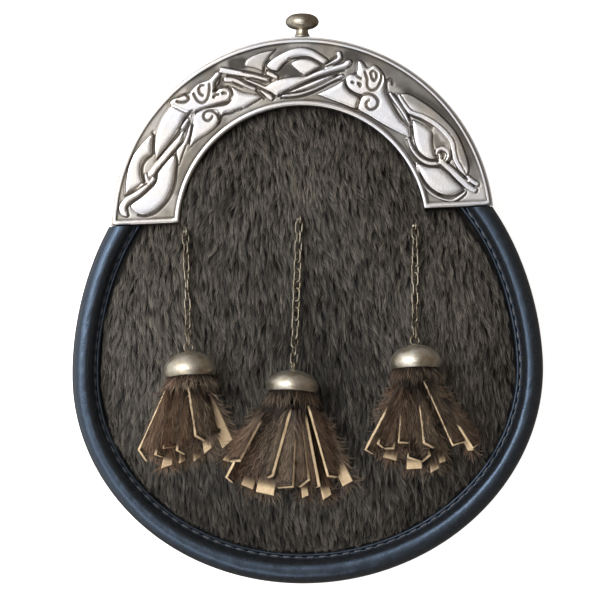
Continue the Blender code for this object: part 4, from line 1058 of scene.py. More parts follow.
def bare_field(points):
    """Height and darkening of the cantle's plate under its ornament, at plan points."""
    radius = np.hypot(points[:, 0], points[:, 1])
    middle = (CANTLE_OUTER + CANTLE_INNER) / 2.0
    dish = ((radius - middle) / (CANTLE_OUTER - middle)) ** 2
    height = FIELD_LEVEL - 0.12 + 0.18 * dish
    # Darker towards the inner edge, towards the top of the arch, and in a band beside the rims
    inward = np.clip((middle - radius) / (middle - CANTLE_INNER) * 1.6, 0.0, 1.0)
    upward = np.clip((points[:, 1] / radius - 0.80) / 0.14, 0.0, 1.0)
    tarnish_and_shade = FIELD_TARNISH + 0.17 * inward + 0.15 * upward * (1.0 - inward)
    edge = np.minimum(radius - CANTLE_INNER, CANTLE_OUTER - radius)
    end_y = np.where(points[:, 0] < 0.0, CANTLE_LEFT_END_Y, CANTLE_END_Y)
    edge = np.minimum(edge, points[:, 1] - end_y) - RIM_WIDTH
    tarnish_and_shade += 0.30 * np.exp(-((np.maximum(edge, 0.0) / 0.5) ** 2))
    return height, tarnish_and_shade


def relief_fields(points):
    """Height of the cantle's plate at plan points, and its tarnish and painted shade."""
    height, tarnish_and_shade = bare_field(points)
    for _, form, rise, soft, tone, stations in RELIEF:
        depth = shape_depth(form, stations, points)
        # Dark patches: tarnish, and painted shade in recesses, on lobes and as holes
        if form == "shade_and_patina":
            tarnish_and_shade += rise * np.exp(-((np.minimum(depth, 0.0) / soft) ** 2))
            continue
        inside = depth > 0.0
        pillow = 1.0 - (1.0 - np.clip(depth / soft, 0.0, 1.0)) ** 2
        slim = form == "bar"
        bevel = np.clip(depth / (BAR_BEVEL if slim else LOBE_BEVEL), 0.0, 1.0)
        crown = (0.52 * bevel + 0.06 * pillow) if slim else (0.42 * bevel + 0.19 * pillow)
        height = np.where(inside, FIELD_LEVEL + rise * (0.32 + crown), height)
        foot = np.where(inside, 0.0, np.exp(-((depth / FOOT_WIDTH) ** 2)))
        height -= FOOT_DEPTH * foot
        shine = tone + 0.10 * (1.0 - bevel)
        tarnish_and_shade = np.where(inside, shine, tarnish_and_shade + FOOT_TARNISH * foot)
    for _, stations in LINES:
        bite = np.clip(shape_depth("line", stations, points) / LINE_EDGE + 0.5, 0.0, 1.0)
        height -= bite * LINE_DEPTH
        tarnish_and_shade = tarnish_and_shade * (1.0 - bite) + bite * LINE_TARNISH
    return height, np.clip(tarnish_and_shade, 0.0, 1.0)


def soften(grid, rounds):
    """Smooth a grid of numbers a little."""
    for _ in range(rounds):
        padded = np.pad(grid, 1, mode="edge")
        around = padded[:-2, 1:-1] + padded[2:, 1:-1] + padded[1:-1, :-2] + padded[1:-1, 2:]
        grid = grid * 0.5 + around * 0.125
    return grid


def plate_plan():
    """Plan points of the plate's grid, row by row from its right end to its left one."""
    radii = np.linspace(CANTLE_INNER + PLATE_INSET, CANTLE_OUTER - PLATE_INSET, PLATE_ACROSS + 1)
    right = np.arcsin((CANTLE_END_Y + PLATE_END_INSET) / radii)
    left = math.pi - np.arcsin((CANTLE_LEFT_END_Y + PLATE_END_INSET) / radii)
    share = np.linspace(0.0, 1.0, PLATE_ALONG + 1)[:, None]
    angle = right + (left - right) * share
    return np.stack((radii * np.cos(angle), radii * np.sin(angle)), -1)


def make_cantle(silver):
    """The cantle's ornamented plate, with a short wall down from its edge."""
    plan = plate_plan()
    rows, columns = plan.shape[:2]
    height, tarnish_and_shade = relief_fields(plan.reshape(-1, 2))
    height = soften(height.reshape(rows, columns), 2)
    tarnish_and_shade = soften(tarnish_and_shade.reshape(rows, columns), 1)
    top = np.dstack((plan, height)).reshape(-1, 3)
    rim = np.concatenate((
        np.arange(columns),
        np.arange(1, rows) * columns + columns - 1,
        (rows - 1) * columns + np.arange(columns - 2, -1, -1),
        np.arange(rows - 2, 0, -1) * columns,
    ))
    under = top[rim].copy()
    under[:, 2] = PLATE_UNDER
    below = len(top) + np.arange(len(rim))
    wall = np.stack((rim, np.roll(rim, -1), np.roll(below, -1), below), -1)
    tarnish_and_shade = np.concatenate((tarnish_and_shade.ravel(), np.full(len(rim), 0.9)))
    parts = Parts()
    parts.add(np.vstack((top, under)), grid_faces(rows, columns)[:, ::-1], wall, tarnish_and_shade=tarnish_and_shade)
    add_piece("cantle_plate", parts.mesh("cantle_plate"), silver, ("cantle",))


def rim_section(ledge):
    """Section of the rim: distance in from the edge, height, and tarnish, with painted shade on the walls
    that fall to the fur.
    """
    top = RIM_TOP
    wide = RIM_WIDTH - 0.1
    return (
        (0.0, CANTLE_LOW, 0.6),
        (0.0, CANTLE_LOW + 2.0, 0.5),
        (0.0, top - 1.25, 0.35),
        (0.10, top - 1.02, 0.15),
        (0.10 + ledge * 0.5, top - 0.98, 0.2),
        (0.10 + ledge * 0.9, top - 0.95, 0.6),
        (0.14 + ledge, top - 0.42, 0.28),
        (0.24 + ledge, top - 0.14, 0.10 + 0.12 * ledge),
        (0.42 + ledge * 0.9, top - 0.01, 0.06 + 0.12 * ledge),
        (wide * 0.5 + ledge * 0.5, top + 0.02, 0.05 + 0.10 * ledge),
        (wide - 0.40 + ledge * 0.2, top - 0.01, 0.05),
        (wide - 0.20 + ledge * 0.1, top - 0.20, 0.14),
        (wide - 0.06, top - 0.85, 0.5),
        (wide - 0.02, top - 1.60, 0.9),
        (wide, CANTLE_LOW + 4.0, 0.9),
        (wide, CANTLE_LOW, 0.9),
    )


def rim_loop(inset):
    """Closed plan loop of the arch moved in: outer arc, left end, inner arc, right end."""
    outer = CANTLE_OUTER - inset
    inner = CANTLE_INNER + inset
    right_y = CANTLE_END_Y + inset
    left_y = CANTLE_LEFT_END_Y + inset
    right = [math.asin(right_y / radius) for radius in (outer, inner)]
    left = [math.pi - math.asin(left_y / radius) for radius in (outer, inner)]
    first = arc_path(outer, right[0], left[0], RIM_STEPS)
    second = arc_path(inner, left[1], right[1], RIM_STEPS)
    left_end = np.linspace(first[-1], second[0], 13)[1:-1]
    right_end = np.linspace(second[-1], first[0], 13)[1:-1]
    return np.vstack((first, left_end, second, right_end))


def make_cantle_rims(silver):
    """Rounded rims along the arch and across its two ends, with a ledge on the outer arc."""
    rings = []
    tarnish_and_shade = []
    for ledged, plain in zip(rim_section(RIM_LEDGE), rim_section(0.0)):
        wide = rim_loop(ledged[0])
        on_outer = np.arange(len(wide)) <= RIM_STEPS
        plan = np.where(on_outer[:, None], wide, rim_loop(plain[0]))
        level = np.where(on_outer, ledged[1], plain[1])
        rings.append(np.column_stack((plan, level)))
        tarnish_and_shade.append(np.where(on_outer, ledged[2], plain[2]))
    faces = grid_faces(len(rings), len(rings[0]), wrap_rows=True, wrap_columns=True)
    parts = Parts()
    parts.add(rings, faces, tarnish_and_shade=np.ravel(tarnish_and_shade))
    mesh = turn_out(parts.mesh("cantle_rims"))
    add_piece("cantle_rims", mesh, silver, flat_from=50)


# ---------------------------------------------------------------- leather


def sweep(paths, levels):
    """Points of a section swept along plan paths, one path and level for each section point."""
    return np.array([np.column_stack((path, np.full(len(path), z))) for path, z in zip(paths, levels)])


def capped_sweep(parts, rows):
    """Add a closed section swept along an open path, with its two ends closed."""
    count, length = rows.shape[:2]
    parts.add(rows, grid_faces(count, length, wrap_rows=True))
    for end in (0, length - 1):
        ring = rows[:, end]
        parts.add(np.vstack((ring, ring.mean(0))), fan_faces(count, count))


def ripple(points, size, amount, seed):
    """Soft random waves about size across, at points."""
    generator = np.random.default_rng(seed)
    lift = np.zeros(len(points))
    for _ in range(WAVES):
        heading = generator.normal(size=3)
        heading *= (0.6 + 0.9 * generator.random()) / (size * np.linalg.norm(heading))
        lift += np.sin(points @ heading * 2.0 * math.pi + generator.random() * 6.28)
    return lift * amount / math.sqrt(WAVES / 2.0)


def roll_section():
    """Section of the roll and its lip: share of the roll's width, distance past it and level."""
    section = [(0.06, 0.0, ROLL_LOW), (0.0, 0.0, ROLL_LOW + 1.6)]
    for share in np.linspace(0.0, 1.0, ROLL_STEPS + 1):
        reach = -math.cos(math.pi * share)
        outside = reach < 0.0
        across = ROLL_CREST + (ROLL_CREST if outside else 1.0 - ROLL_CREST) * reach
        base, power = ROLL_OUTER if outside else ROLL_INNER
        level = base + (ROLL_TOP - base) * max(0.0, 1.0 - abs(reach) ** power) ** (1.0 / power)
        section.append((ROLL_START + (SEAM_AT - ROLL_START) * across, 0.0, level))
    section += [(SEAM_AT, beyond, LIP_TOP + level) for beyond, level in LIP_PROFILE]
    return section + [(1.0, LIP_WIDTH, ROLL_LOW + 0.5), (1.0, LIP_WIDTH, ROLL_LOW)]


def make_roll(leather):
    """Padded leather roll with the flat lip beside the fur."""
    section = roll_section()
    paths = []
    for part, beyond, _ in section:
        inset = part * ROLL_WIDTH + beyond
        extra = part * ROLL_BOTTOM_EXTRA
        paths.append(side_path(inset, CANTLE_END_Y - GAP, 420, extra, CANTLE_LEFT_LOWER))
    rows = sweep(paths, [level for _, _, level in section])
    points = rows.reshape(-1, 3)
    wave = ripple(points, 9.0, 0.035, SEED) + ripple(points, 3.0, 0.02, SEED + 1)
    points[:, 2] += wave * np.clip((points[:, 2] - ROLL_LOW) / 6.0, 0.0, 1.0)
    parts = Parts()
    capped_sweep(parts, points.reshape(rows.shape))
    mesh = turn_out(parts.mesh("edge_roll_leather"))
    roll = add_piece("edge_roll_leather", mesh, leather, ("edge_roll",), flat_from=55)


def path_frames(path, pitch):
    """Places and headings at even steps along a plan path."""
    runs = np.linalg.norm(np.diff(path, axis=0), axis=1)
    travelled = np.concatenate(([0.0], np.cumsum(runs)))
    count = int(travelled[-1] // pitch)
    at = (np.arange(count) + 0.5) * travelled[-1] / count
    place, ahead, behind = (
        np.stack([np.interp(at + step, travelled, path[:, axis]) for axis in (0, 1)], -1)
        for step in (0.0, 0.5, -0.5)
    )
    return place, unit(ahead - behind)


def add_stitch(parts, centre, heading, up, length, radius):
    """One stitch: a short fat thread that dives into the leather at both ends."""
    turn = full_turn(8)[:, None]
    outward = np.cos(turn) * np.cross(up, heading) + np.sin(turn) * up * 0.8
    rings = []
    for station in np.linspace(-1.0, 1.0, 9):
        swell = math.sqrt(max(0.0, 1.0 - abs(station) ** 2.6)) * 0.75 + 0.25
        rise = up * radius * (0.55 - 0.85 * station ** 4)
        middle = centre + heading * station * length / 2.0 + rise
        rings.append(middle + outward * radius * swell)
    parts.add(rings, grid_faces(len(rings), len(turn), wrap_columns=True)[:, ::-1])


def stitch_row(parts, path, level, up, pitch=1.0, length=1.0, radius=1.0):
    """Stitches along a plan path, with sizes as shares of the front stitches'."""
    for place, heading in zip(*path_frames(path, STITCH_PITCH * pitch)):
        centre = np.array((*place, level))
        heading = np.array((*heading, 0.0))
        add_stitch(parts, centre, heading, up, STITCH_LENGTH * length, STITCH_RADIUS * radius)


def make_stitches(thread):
    """Stitches in the groove between the roll and the lip, and round the back and its slots."""
    front = Parts()
    extra = ROLL_BOTTOM_EXTRA * STITCH_AT
    end_y = CANTLE_END_Y - GAP - 1.0
    seam = side_path(ROLL_WIDTH * STITCH_AT, end_y, 300, extra, CANTLE_LEFT_LOWER)
    stitch_row(front, seam, STITCH_LEVEL, UP)
    add_piece("lip_stitches", front.mesh("lip_stitches"), thread)
    back = Parts()
    seam = body_path(BACK_SEAM_INSET, math.pi / 2.0, 200, 60)
    stitch_row(back, seam, BACK_STITCH_LEVEL, -UP, 0.9, 0.9, 0.8)
    for side in (-1.0, 1.0):
        seam = slot_loop(side, SLOT_SEAM_OUTSET)
        stitch_row(back, seam, BACK_STITCH_LEVEL, -UP, 0.75, 0.7, 0.7)
    add_piece("back_stitches", back.mesh("back_stitches"), thread)


def slot_loop(side, outset):
    """Closed loop round a strap slot, outset from its edge."""
    radius = STRAP_SLOT[0] / 2.0 + outset
    straight = STRAP_SLOT[1] / 2.0 - STRAP_SLOT[0] / 2.0
    loop = []
    for end in (1.0, -1.0):
        for k in range(13):
            angle = math.pi * k / 12.0 + (0.0 if end > 0.0 else math.pi)
            x = side * STRAP_SLOT_AT[0] + radius * math.cos(angle)
            loop.append((x, STRAP_SLOT_AT[1] + end * straight + radius * math.sin(angle)))
    loop.append(loop[0])
    return np.array(loop)


def back_curve():
    """Filled outline of the back panel and its two strap slots, with rounded edges."""
    curve = bpy.data.curves.new("back_leather", "CURVE")
    curve.dimensions = "2D"
    curve.fill_mode = "BOTH"
    curve.extrude = (BACK_THICK / 2.0 - BACK_BEVEL) * MM
    curve.bevel_depth = BACK_BEVEL * MM
    curve.bevel_resolution = 3
    outline = body_path(BACK_INSET + BACK_BEVEL, math.pi / 2.0, 180, 60)
    for loop in (outline, slot_loop(-1.0, BACK_BEVEL), slot_loop(1.0, BACK_BEVEL)):
        placed = to_row(np.column_stack((loop, np.zeros(len(loop)))))[:-1]
        spline = curve.splines.new("POLY")
        spline.points.add(len(placed) - 1)
        spline.points.foreach_set("co", np.column_stack((placed, np.ones(len(placed)))).ravel())
        spline.use_cyclic_u = True
    return curve


def make_back(leather):
    """Back panel with rounded edges and two strap slots."""
    holder = bpy.data.objects.new("back_outline", back_curve())
    bpy.context.scene.collection.objects.link(holder)
    holder.location.z = BACK_THICK / 2.0 * MM
    bpy.context.view_layer.update()
    evaluated = holder.evaluated_get(bpy.context.evaluated_depsgraph_get())
    mesh = bpy.data.meshes.new_from_object(evaluated)
    mesh.transform(holder.matrix_world)
    bpy.data.objects.remove(holder)
    turn_out(mesh, weld=WELD)
    mesh.materials.clear()
    add_piece("back_leather", mesh, leather, ("back_panel",), flat_from=40)


def gusset_section(low):
    """Section of the side wall: inset and level, up its outer face and down its inner one."""
    section = []
    for share in np.linspace(0.0, 1.0, GUSSET_STEPS):
        bow = GUSSET_BOW * math.sin(math.pi * share)
        crease = GUSSET_CREASE * math.exp(-(((share - 0.5) / 0.09) ** 2))
        seams = math.exp(-((share / 0.06) ** 2)) + math.exp(-(((1.0 - share) / 0.06) ** 2))
        level = low + (GUSSET_TOP - low) * share
        section.append((GUSSET_INSET - bow + crease - GUSSET_WELT * seams, level))
    return section + [(inset + LEATHER, level) for inset, level in reversed(section)]


def make_gusset(leather):
    """Bowed side wall with a soft crease along its middle and a welt at each seam."""
    low = BACK_THICK + GAP
    section = gusset_section(low)
    paths = [body_path(inset, MOUTH_ANGLE, 320, 46) for inset, _ in section]
    rows = sweep(paths, [level for _, level in section])
    points = rows.reshape(-1, 3)
    outward = unit(points[:, :2] - GUSSET_MIDDLE)
    inside = np.sin(np.clip((points[:, 2] - low) / (GUSSET_TOP - low), 0.0, 1.0) * math.pi)
    wave = ripple(points * (1.0, 1.0, 0.35), 11.0, GUSSET_WAVE, SEED + 2) * inside
    points[:, :2] += outward * wave[:, None]
    parts = Parts()
    capped_sweep(parts, points.reshape(rows.shape))
    mesh = turn_out(parts.mesh("gusset_leather"))
    add_piece("gusset_leather", mesh, leather, ("gusset",), flat_from=60)


# ---------------------------------------------------------------- fur front


def front_rim(steps):
    """Pairs of plan points round the front: the fur's foot and the panel's outer edge."""
    arch = CANTLE_INNER - 2.0 * GAP
    end_y = CANTLE_END_Y - 2.0 * GAP
    low = math.asin(end_y / arch)
    edge = TOP_RADIUS - FRONT_EDGE_INSET
    outer_low = math.asin(end_y * 2.0 / edge)
    first = outer_low + math.radians(3.5)
    corner = np.array((arch * math.cos(low), end_y))
    side_foot = side_path(FUR_INSET, end_y, steps * 2, ROLL_BOTTOM_EXTRA)
    halfway = np.linspace(corner, side_foot[0], 8)[1:-1]
    outer = np.repeat(polar(math.degrees(outer_low), edge)[None], len(halfway), 0)
    mirror = (-1.0, 1.0)
    foot = (arc_path(arch, math.pi - low, low, steps), halfway, side_foot, halfway[::-1] * mirror)
    side_edge = side_path(FRONT_EDGE_INSET, end_y, steps * 2)
    panel = (arc_path(edge, math.pi - first, first, steps), outer, side_edge, outer * mirror)
    return np.vstack(foot), np.vstack(panel)


def skin_ring(foot, share, drop, least):
    """Ring of the hide, a share of the way in from the fur's foot and drop below the fur."""
    plan = foot + (FRONT_MIDDLE - foot) * share
    level = fur_height(plan[:, 0], plan[:, 1]) - drop
    return np.column_stack((plan, np.maximum(level, least)))


def make_skin(skin):
    """The hide under the hair, and the leather edge of the front panel."""
    foot, panel = front_rim(60)
    shares = np.linspace(0.97, 0.0, 26) ** 1.15
    rings = [skin_ring(foot, share, SKIN_DROP, PANEL_TOP) for share in shares]
    for plan, level in ((foot, PANEL_TOP - 0.05), (panel, PANEL_TOP), (panel, PANEL_LOW)):
        rings.append(np.column_stack((plan, np.full(len(plan), level))))
    shares = np.linspace(0.05, 0.97, 20)
    rings += [skin_ring(foot, share, SKIN_UNDER_DROP, PANEL_LOW) for share in shares]
    count = len(foot)
    total = len(rings) * count
    middle = float(fur_height(*FRONT_MIDDLE))
    poles = [(*FRONT_MIDDLE, middle - drop) for drop in (SKIN_DROP, SKIN_UNDER_DROP)]
    fans = (fan_faces(count, total), fan_faces(count, total + 1, total - count))
    parts = Parts()
    parts.add(np.vstack(rings + [poles]), grid_faces(len(rings), count, wrap_columns=True), *fans)
    mesh = turn_out(parts.mesh("front_skin"))
    add_piece("front_skin", mesh, skin, ("fur_front",), flat_from=60)


def comb_heading(x, y):
    """Angle from straight down at which the fur is combed, in radians."""
    lean = 0.10 * x / HALF_WIDTH
    swirl = 0.13 * np.sin(x * 0.083 + y * 0.037 + 1.0) + 0.10 * np.sin(y * 0.11 - x * 0.06 + 2.2)
    small = 0.10 * np.sin(x * 0.41 + y * 0.23) + 0.08 * np.sin(y * 0.37 - x * 0.29 + 4.0)
    return lean + swirl + small


def hair_ribbons(root, heading, normal, length, width, lift, bend, tone, generator, segments=1):
    """Tapered ribbons from roots: arrays of points, quads, triangles and values."""
    count = len(root)
    side = unit(np.cross(heading, normal))
    roll = generator.normal(0.0, 0.5, count)[:, None]
    side = side * np.cos(roll) + normal * np.sin(roll)
    shape = (root, heading, normal, side, length, lift, bend)
    rows = []
    along = []
    for k in range(segments + 1):
        middle = ribbon_point(*shape, k / (segments + 1))
        half = (width * (0.5 - 0.16 * k / segments))[:, None] * side
        rows += [middle - half, middle + half]
        along += [k / (segments + 1)] * 2
    rows.append(ribbon_point(*shape, 1.0))
    per = len(rows)
    base = np.arange(count)[:, None] * per
    corners = [np.array((0, 1, 3, 2)) + 2 * k for k in range(segments)]
    quads = np.concatenate([base + corner for corner in corners])
    tips = base + np.array((per - 3, per - 2, per - 1))
    points = np.stack(rows, 1).reshape(-1, 3)
    return points, quads, tips, np.tile(along + [1.0], count), np.repeat(tone, per)


def ribbon_point(root, heading, normal, side, length, lift, bend, share):
    """A ribbon's middle at a share of its length."""
    forward = length * (share - 0.08 * share ** 2)
    rise = lift * (1.0 - (1.0 - share) ** 2) - 0.25 * lift * share ** 3
    sideways = bend * share ** 2
    return root + heading * forward[:, None] + normal * rise[:, None] + side * sideways[:, None]


def ribbon_mesh(name, points, quads, tips, along, tone):
    """Mesh of ribbons, with the numbers that their material reads."""
    mesh = array_mesh(name, points, [quads, tips])
    add_value(mesh, "along", along)
    add_value(mesh, "tone", tone)
    return mesh


def front_normals(x, y):
    """Outward unit normals of the fur's surface."""
    step = 0.6
    dx = (fur_height(x + step, y) - fur_height(x - step, y)) / (2.0 * step)
    dy = (fur_height(x, y + step) - fur_height(x, y - step)) / (2.0 * step)
    return unit(np.stack((-dx, -dy, np.ones_like(dx)), -1))


def lock_centres(generator):
    """Jittered grid of lock roots over the fur front."""
    xs = np.arange(-90.0, 90.0, LOCK_ACROSS)
    ys = np.arange(-142.0, 52.0, LOCK_ALONG)
    x, y = np.meshgrid(xs, ys)
    y = y + (np.arange(len(xs)) % 3)[None, :] * LOCK_ALONG / 3.0
    x = x.ravel() + generator.uniform(-LOCK_JITTER[0], LOCK_JITTER[0], x.size)
    y = y.ravel() + generator.uniform(-LOCK_JITTER[1], LOCK_JITTER[1], y.size)
    keep = (side_distance(x, y) > -0.2) & (cantle_distance(x, y) > -1.2)
    return x[keep], y[keep]


def lock_tones(x, y, generator):
    """How light each lock is, by its place and by chance; by place, painted light makes locks lighter
    towards the sides and the top and darker towards the bottom.
    """
    wave = 0.5 + 0.16 * np.sin(x * 0.06 + 1.1) * np.sin(y * 0.045 + 0.4)
    edge = np.minimum(side_distance(x, y), 30.0) / 30.0
    # Painted light: lighter towards the left and right sides, lighter at the top, darker at the bottom
    painted_side_light = 0.22 * np.clip((np.abs(x + 6.0) - 22.0) / 40.0, 0.0, 1.0) - 0.09
    painted_top_light = 0.15 * np.clip((y + 30.0) / 50.0, -1.3, 1.0)
    clump = ripple(np.column_stack((x, y * 0.55, 0.0 * x)), 7.0, 0.09, SEED + 5)
    tone = wave - 0.10 * edge + painted_side_light + painted_top_light + clump
    return tone + (generator.normal(0.0, 0.25, len(x)) + 0.02)


def cut_at_lip(x, y, heading, length):
    """Lengths of hairs, shortened where they would reach over the leather lip."""
    at_root = side_distance(x, y)
    at_tip = side_distance(x + heading[:, 0] * length, y + heading[:, 1] * length)
    room = (at_root + FUR_OVERHANG) / np.maximum(0.1, at_root - at_tip)
    return length * np.where(at_tip < -FUR_OVERHANG, np.clip(room, 0.3, 1.0), 1.0)


def fur_locks(generator):
    """Locks of the fur front: places, tones, turns, lengths, lifts and bends."""
    x, y = lock_centres(generator)
    tone = lock_tones(x, y, generator)
    turn = comb_heading(x, y) + generator.normal(0.0, 0.16, len(x))
    length = generator.uniform(*LOCK_LENGTH, len(x))
    lift = generator.uniform(*LOCK_LIFT, len(x))
    bend = generator.normal(0.0, 0.8, len(x))
    return np.column_stack((x, y)), tone, turn, length, lift, bend


def fur_hairs(generator):
    """Hairs of the fur front: the arrays that hair_ribbons takes, in its order."""
    place, lock_tone, lock_turn, lock_length, lock_lift, lock_bend = fur_locks(generator)
    spread = generator.normal(0.0, 1.0, (len(place), HAIRS_A_LOCK, 2)) * LOCK_SPREAD
    x, y = (place[:, None] + spread).reshape(-1, 2).T
    keep = (side_distance(x, y) > -0.6) & (cantle_distance(x, y) > -1.6)
    lock = np.repeat(np.arange(len(place)), HAIRS_A_LOCK)[keep]
    x = x[keep]
    y = y[keep]
    across = spread.reshape(-1, 2)[keep][:, 0]
    normal = front_normals(x, y)
    length = lock_length[lock] * generator.uniform(0.78, 1.12, len(x))
    turn = lock_turn[lock] - np.arctan(across * 0.62 / length) + generator.normal(0.0, 0.03, len(x))
    flat = np.stack((np.sin(turn), -np.cos(turn), np.zeros_like(turn)), -1)
    heading = unit(flat - normal * (flat * normal).sum(1, keepdims=True))
    length = cut_at_lip(x, y, heading, length)
    crown = 1.0 - np.clip(np.abs(across) / 1.2, 0.0, 1.0) ** 2
    lift = lock_lift[lock] * (0.45 + 0.55 * crown) * generator.uniform(0.8, 1.2, len(x)) + 0.6
    root = np.column_stack((x, y, fur_height(x, y) - HAIR_DEPTH))
    width = generator.uniform(*HAIR_WIDTH, len(x))
    # Painted light: hairs along a lock's raised middle lighter than those at its sides
    tone = lock_tone[lock] + generator.normal(0.0, 0.10, len(x)) + 0.10 * (crown - 0.6)
    return root, heading, normal, length, width, lift, lock_bend[lock], np.clip(tone, 0.02, 1.0)


def make_fur(hair):
    """Short combed fur: locks of fine ribbons, in three joined meshes."""
    generator = np.random.default_rng(SEED)
    values = fur_hairs(generator)
    root_y = values[0][:, 1]
    for name, low, high in HAIR_SLICES:
        part = (root_y >= low) & (root_y < high)
        ribbons = hair_ribbons(*(value[part] for value in values), generator)
        add_piece(name, ribbon_mesh(name, *ribbons), hair)


# ---------------------------------------------------------------- chains and tassels

# Each tassel: the middle of its cap as the photograph shows it, how far it leans in degrees,
# its chain's links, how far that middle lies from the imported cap's, and the cap's height
TASSELS = {
    "left": (-47.0, -51.7, 1.0, 12, (-1.3, 0.0), 10.0),
    "centre": (-6.5, -59.5, -5.5, 15, (0.9, 0.4), 8.6),
    "right": (42.4, -52.5, -0.5, 12, (-1.9, 0.7), 9.6),
}

# How much lighter a tassel's hair is than the plain mix, most of all on its left: lighter hair, and
# painted light on the side towards the window
HAIR_LIGHTER = {"left": 0.60, "centre": 0.08, "right": 0.05}

# Strips on the near side of a tassel, hair side up, in the photograph's pixels, read one by one:
# where the cut edge leaves the cap, where it ends, and the far corner of the strip's end.
# Then the share of the edge above which hair hides it, how far the hair flares away, and how
# far the strip lies below its neighbours in millimetres.
NEAR_STRIPS = {
    "left": (
        ((172, 387), (156.7, 453.2), (163.6, 456.2), 0.96, 0.4, 0.8),
        ((184, 387), (178.2, 448.6), (185.8, 453.2), 0.96, 0.4, 0.0),
        ((178, 387), (164.4, 447), (176.6, 445.5), 0.96, 0.4, 0.0),
        ((197, 384), (212, 434), (221, 430), 1.2, 0.5, 1.0),
        ((168, 387), (139.7, 448.5), (147.6, 460.5), 0.08, 0.5, 0.0),
        ((189.6, 384), (196.5, 434), (205.7, 439.4), 0.08, 0.5, 0.0),
    ),
    "centre": (
        ((262, 409), (227.1, 475.4), (233, 481), 0.76, 0.6, 2.4),
        ((266, 411), (240.9, 458.6), (230.2, 459.6), 0.20, 0.9, 0.0),
        ((292, 404), (273.1, 473.1), (267.7, 476), 0.10, 0.5, 0.0),
        ((297, 408), (293.3, 484.5), (277.7, 486), 0.30, 0.5, 0.0),
        ((301, 406), (309, 477.5), (299.1, 485.3), 0.22, 0.4, 0.0),
        ((304, 406), (319, 484), (315.5, 486), 0.16, 0.3, 0.0),
        ((308, 404), (327.4, 473.8), (337.4, 475.4), 0.04, 1.35, 0.0),
    ),
    "right": (
        ((412, 388), (406.5, 455.5), (420.6, 460.3), 0.97, 0.4, 2.6),
        ((418, 388), (428.2, 453.6), (420.8, 460.3), 0.97, 0.4, 3.6),
        ((401, 386), (377, 441.7), (382.8, 446.9), 0.96, 0.4, 0.6),
        ((404, 386), (392.4, 446.5), (383, 447), 0.93, 0.4, 0.6),
        ((398, 384), (364.6, 447.9), (372.7, 452.7), 0.40, 0.6, 0.0),
        ((401, 386), (397.3, 440.7), (412.9, 441.7), 0.50, 0.4, -0.6),
        ((440, 398), (471, 447), (477.5, 443), 0.55, 1.6, 0.4),
        ((416, 388), (422.5, 441.2), (433, 446.5), 0.34, 0.5, -0.4),
        ((422, 380), (451.2, 444), (463.6, 440.5), 0.03, 1.5, 0.0),
    ),
}

# Strips on the far side, flesh side up: the middle of the end in the photograph's pixels, the
# width, the share of the length above which hair hides them, how much further the left corner
# reaches than the right one, and the tilt in degrees
FAR_STRIPS = {
    "left": (
        ((149, 450), 4.5, 1.2, 0.0, 8),
        ((167.4, 465.5), 3.8, 0.92, 2.2, 12),
        ((182.8, 460.5), 2.8, 0.95, 1.2, 50),
        ((198, 457.5), 3.2, 0.95, 1.6, 42),
        ((209, 449.5), 3.4, 0.88, 1.8, -15),
        ((228.5, 443), 5.6, 0.36, 1.8, -22),
    ),
    "centre": (
        ((226.5, 459), 2.2, 0.96, 0.4, 20),
        ((247.5, 485.5), 5.0, 0.94, -0.6, 10),
        ((265.2, 492), 7.3, 0.90, -0.3, -6),
        ((305.3, 495), 2.6, 0.92, 0.7, 12),
        ((327, 495.5), 3.8, 0.91, 1.2, 25),
        ((347.5, 482), 4.7, 0.82, 0.3, -14),
    ),
    "right": (
        ((375, 446), 4.5, 1.2, 0.0, 8),
        ((389, 457.5), 5.4, 0.96, -0.4, 0),
        ((413.5, 467.5), 6.1, 0.91, 0.3, 6),
        ((434, 469), 3.6, 0.95, 1.2, 25),
        ((441.5, 461), 2.6, 0.95, 0.0, 35),
        ((470.3, 449.5), 2.4, 0.86, -0.8, -30),
    ),
}


def cad_surface(name):
    """Ray-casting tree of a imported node."""
    work = bmesh.new()
    work.from_mesh(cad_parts[name].data)
    tree = BVHTree.FromBMesh(work)
    work.free()
    return tree


def highest(tree, x, y, reach):
    """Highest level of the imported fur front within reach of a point, in millimetres."""
    level = 0.0
    for k in range(9):
        angle = math.pi * k / 4.0
        spread = reach if k else 0.0
        start = to_row((x + spread * math.cos(angle), y + spread * math.sin(angle), 1000.0))
        hit = tree.ray_cast(Vector(start), Vector((0.0, 0.0, -1.0)))[0]
        if hit is not None:
            level = max(level, hit.z / MM)
    return level


def cap_pose(tree, x, y, lean):
    """Apex direction of a tassel cap, and its rim's centre."""
    turn = math.radians(lean)
    upward = np.array((-math.sin(turn), math.cos(turn), 0.0))
    axis = upward * math.cos(CAP_DIP) - UP * math.sin(CAP_DIP)
    rim = np.array((x, y, 0.0)) - upward * CAP_HEIGHT / 2.0
    rim[2] = highest(tree, rim[0], rim[1], CAP_SEAT) + CAP_RADIUS + GAP
    return axis, rim


def lathe(parts, profile, axis, centre, sides, **values):
    """Turn a profile of (radius, height) about an axis; its ends lie on the axis."""
    axis = unit(axis)
    side = unit(np.cross(axis, UP if abs(axis[2]) < 0.9 else (1.0, 0.0, 0.0)))
    turn = full_turn(sides)[:, None]
    rim = np.cos(turn) * side + np.sin(turn) * np.cross(axis, side)
    rings = [centre + axis * height + rim * radius for radius, height in profile[1:-1]]
    poles = [centre + axis * profile[end][1] for end in (0, -1)]
    count = len(rings) * sides
    first = fan_faces(sides, count)
    last = fan_faces(sides, count + 1, count - sides)[:, (1, 0, 2)]
    faces = grid_faces(len(rings), sides, wrap_columns=True)
    parts.add(np.vstack(rings + [poles]), faces, first, last, **values)


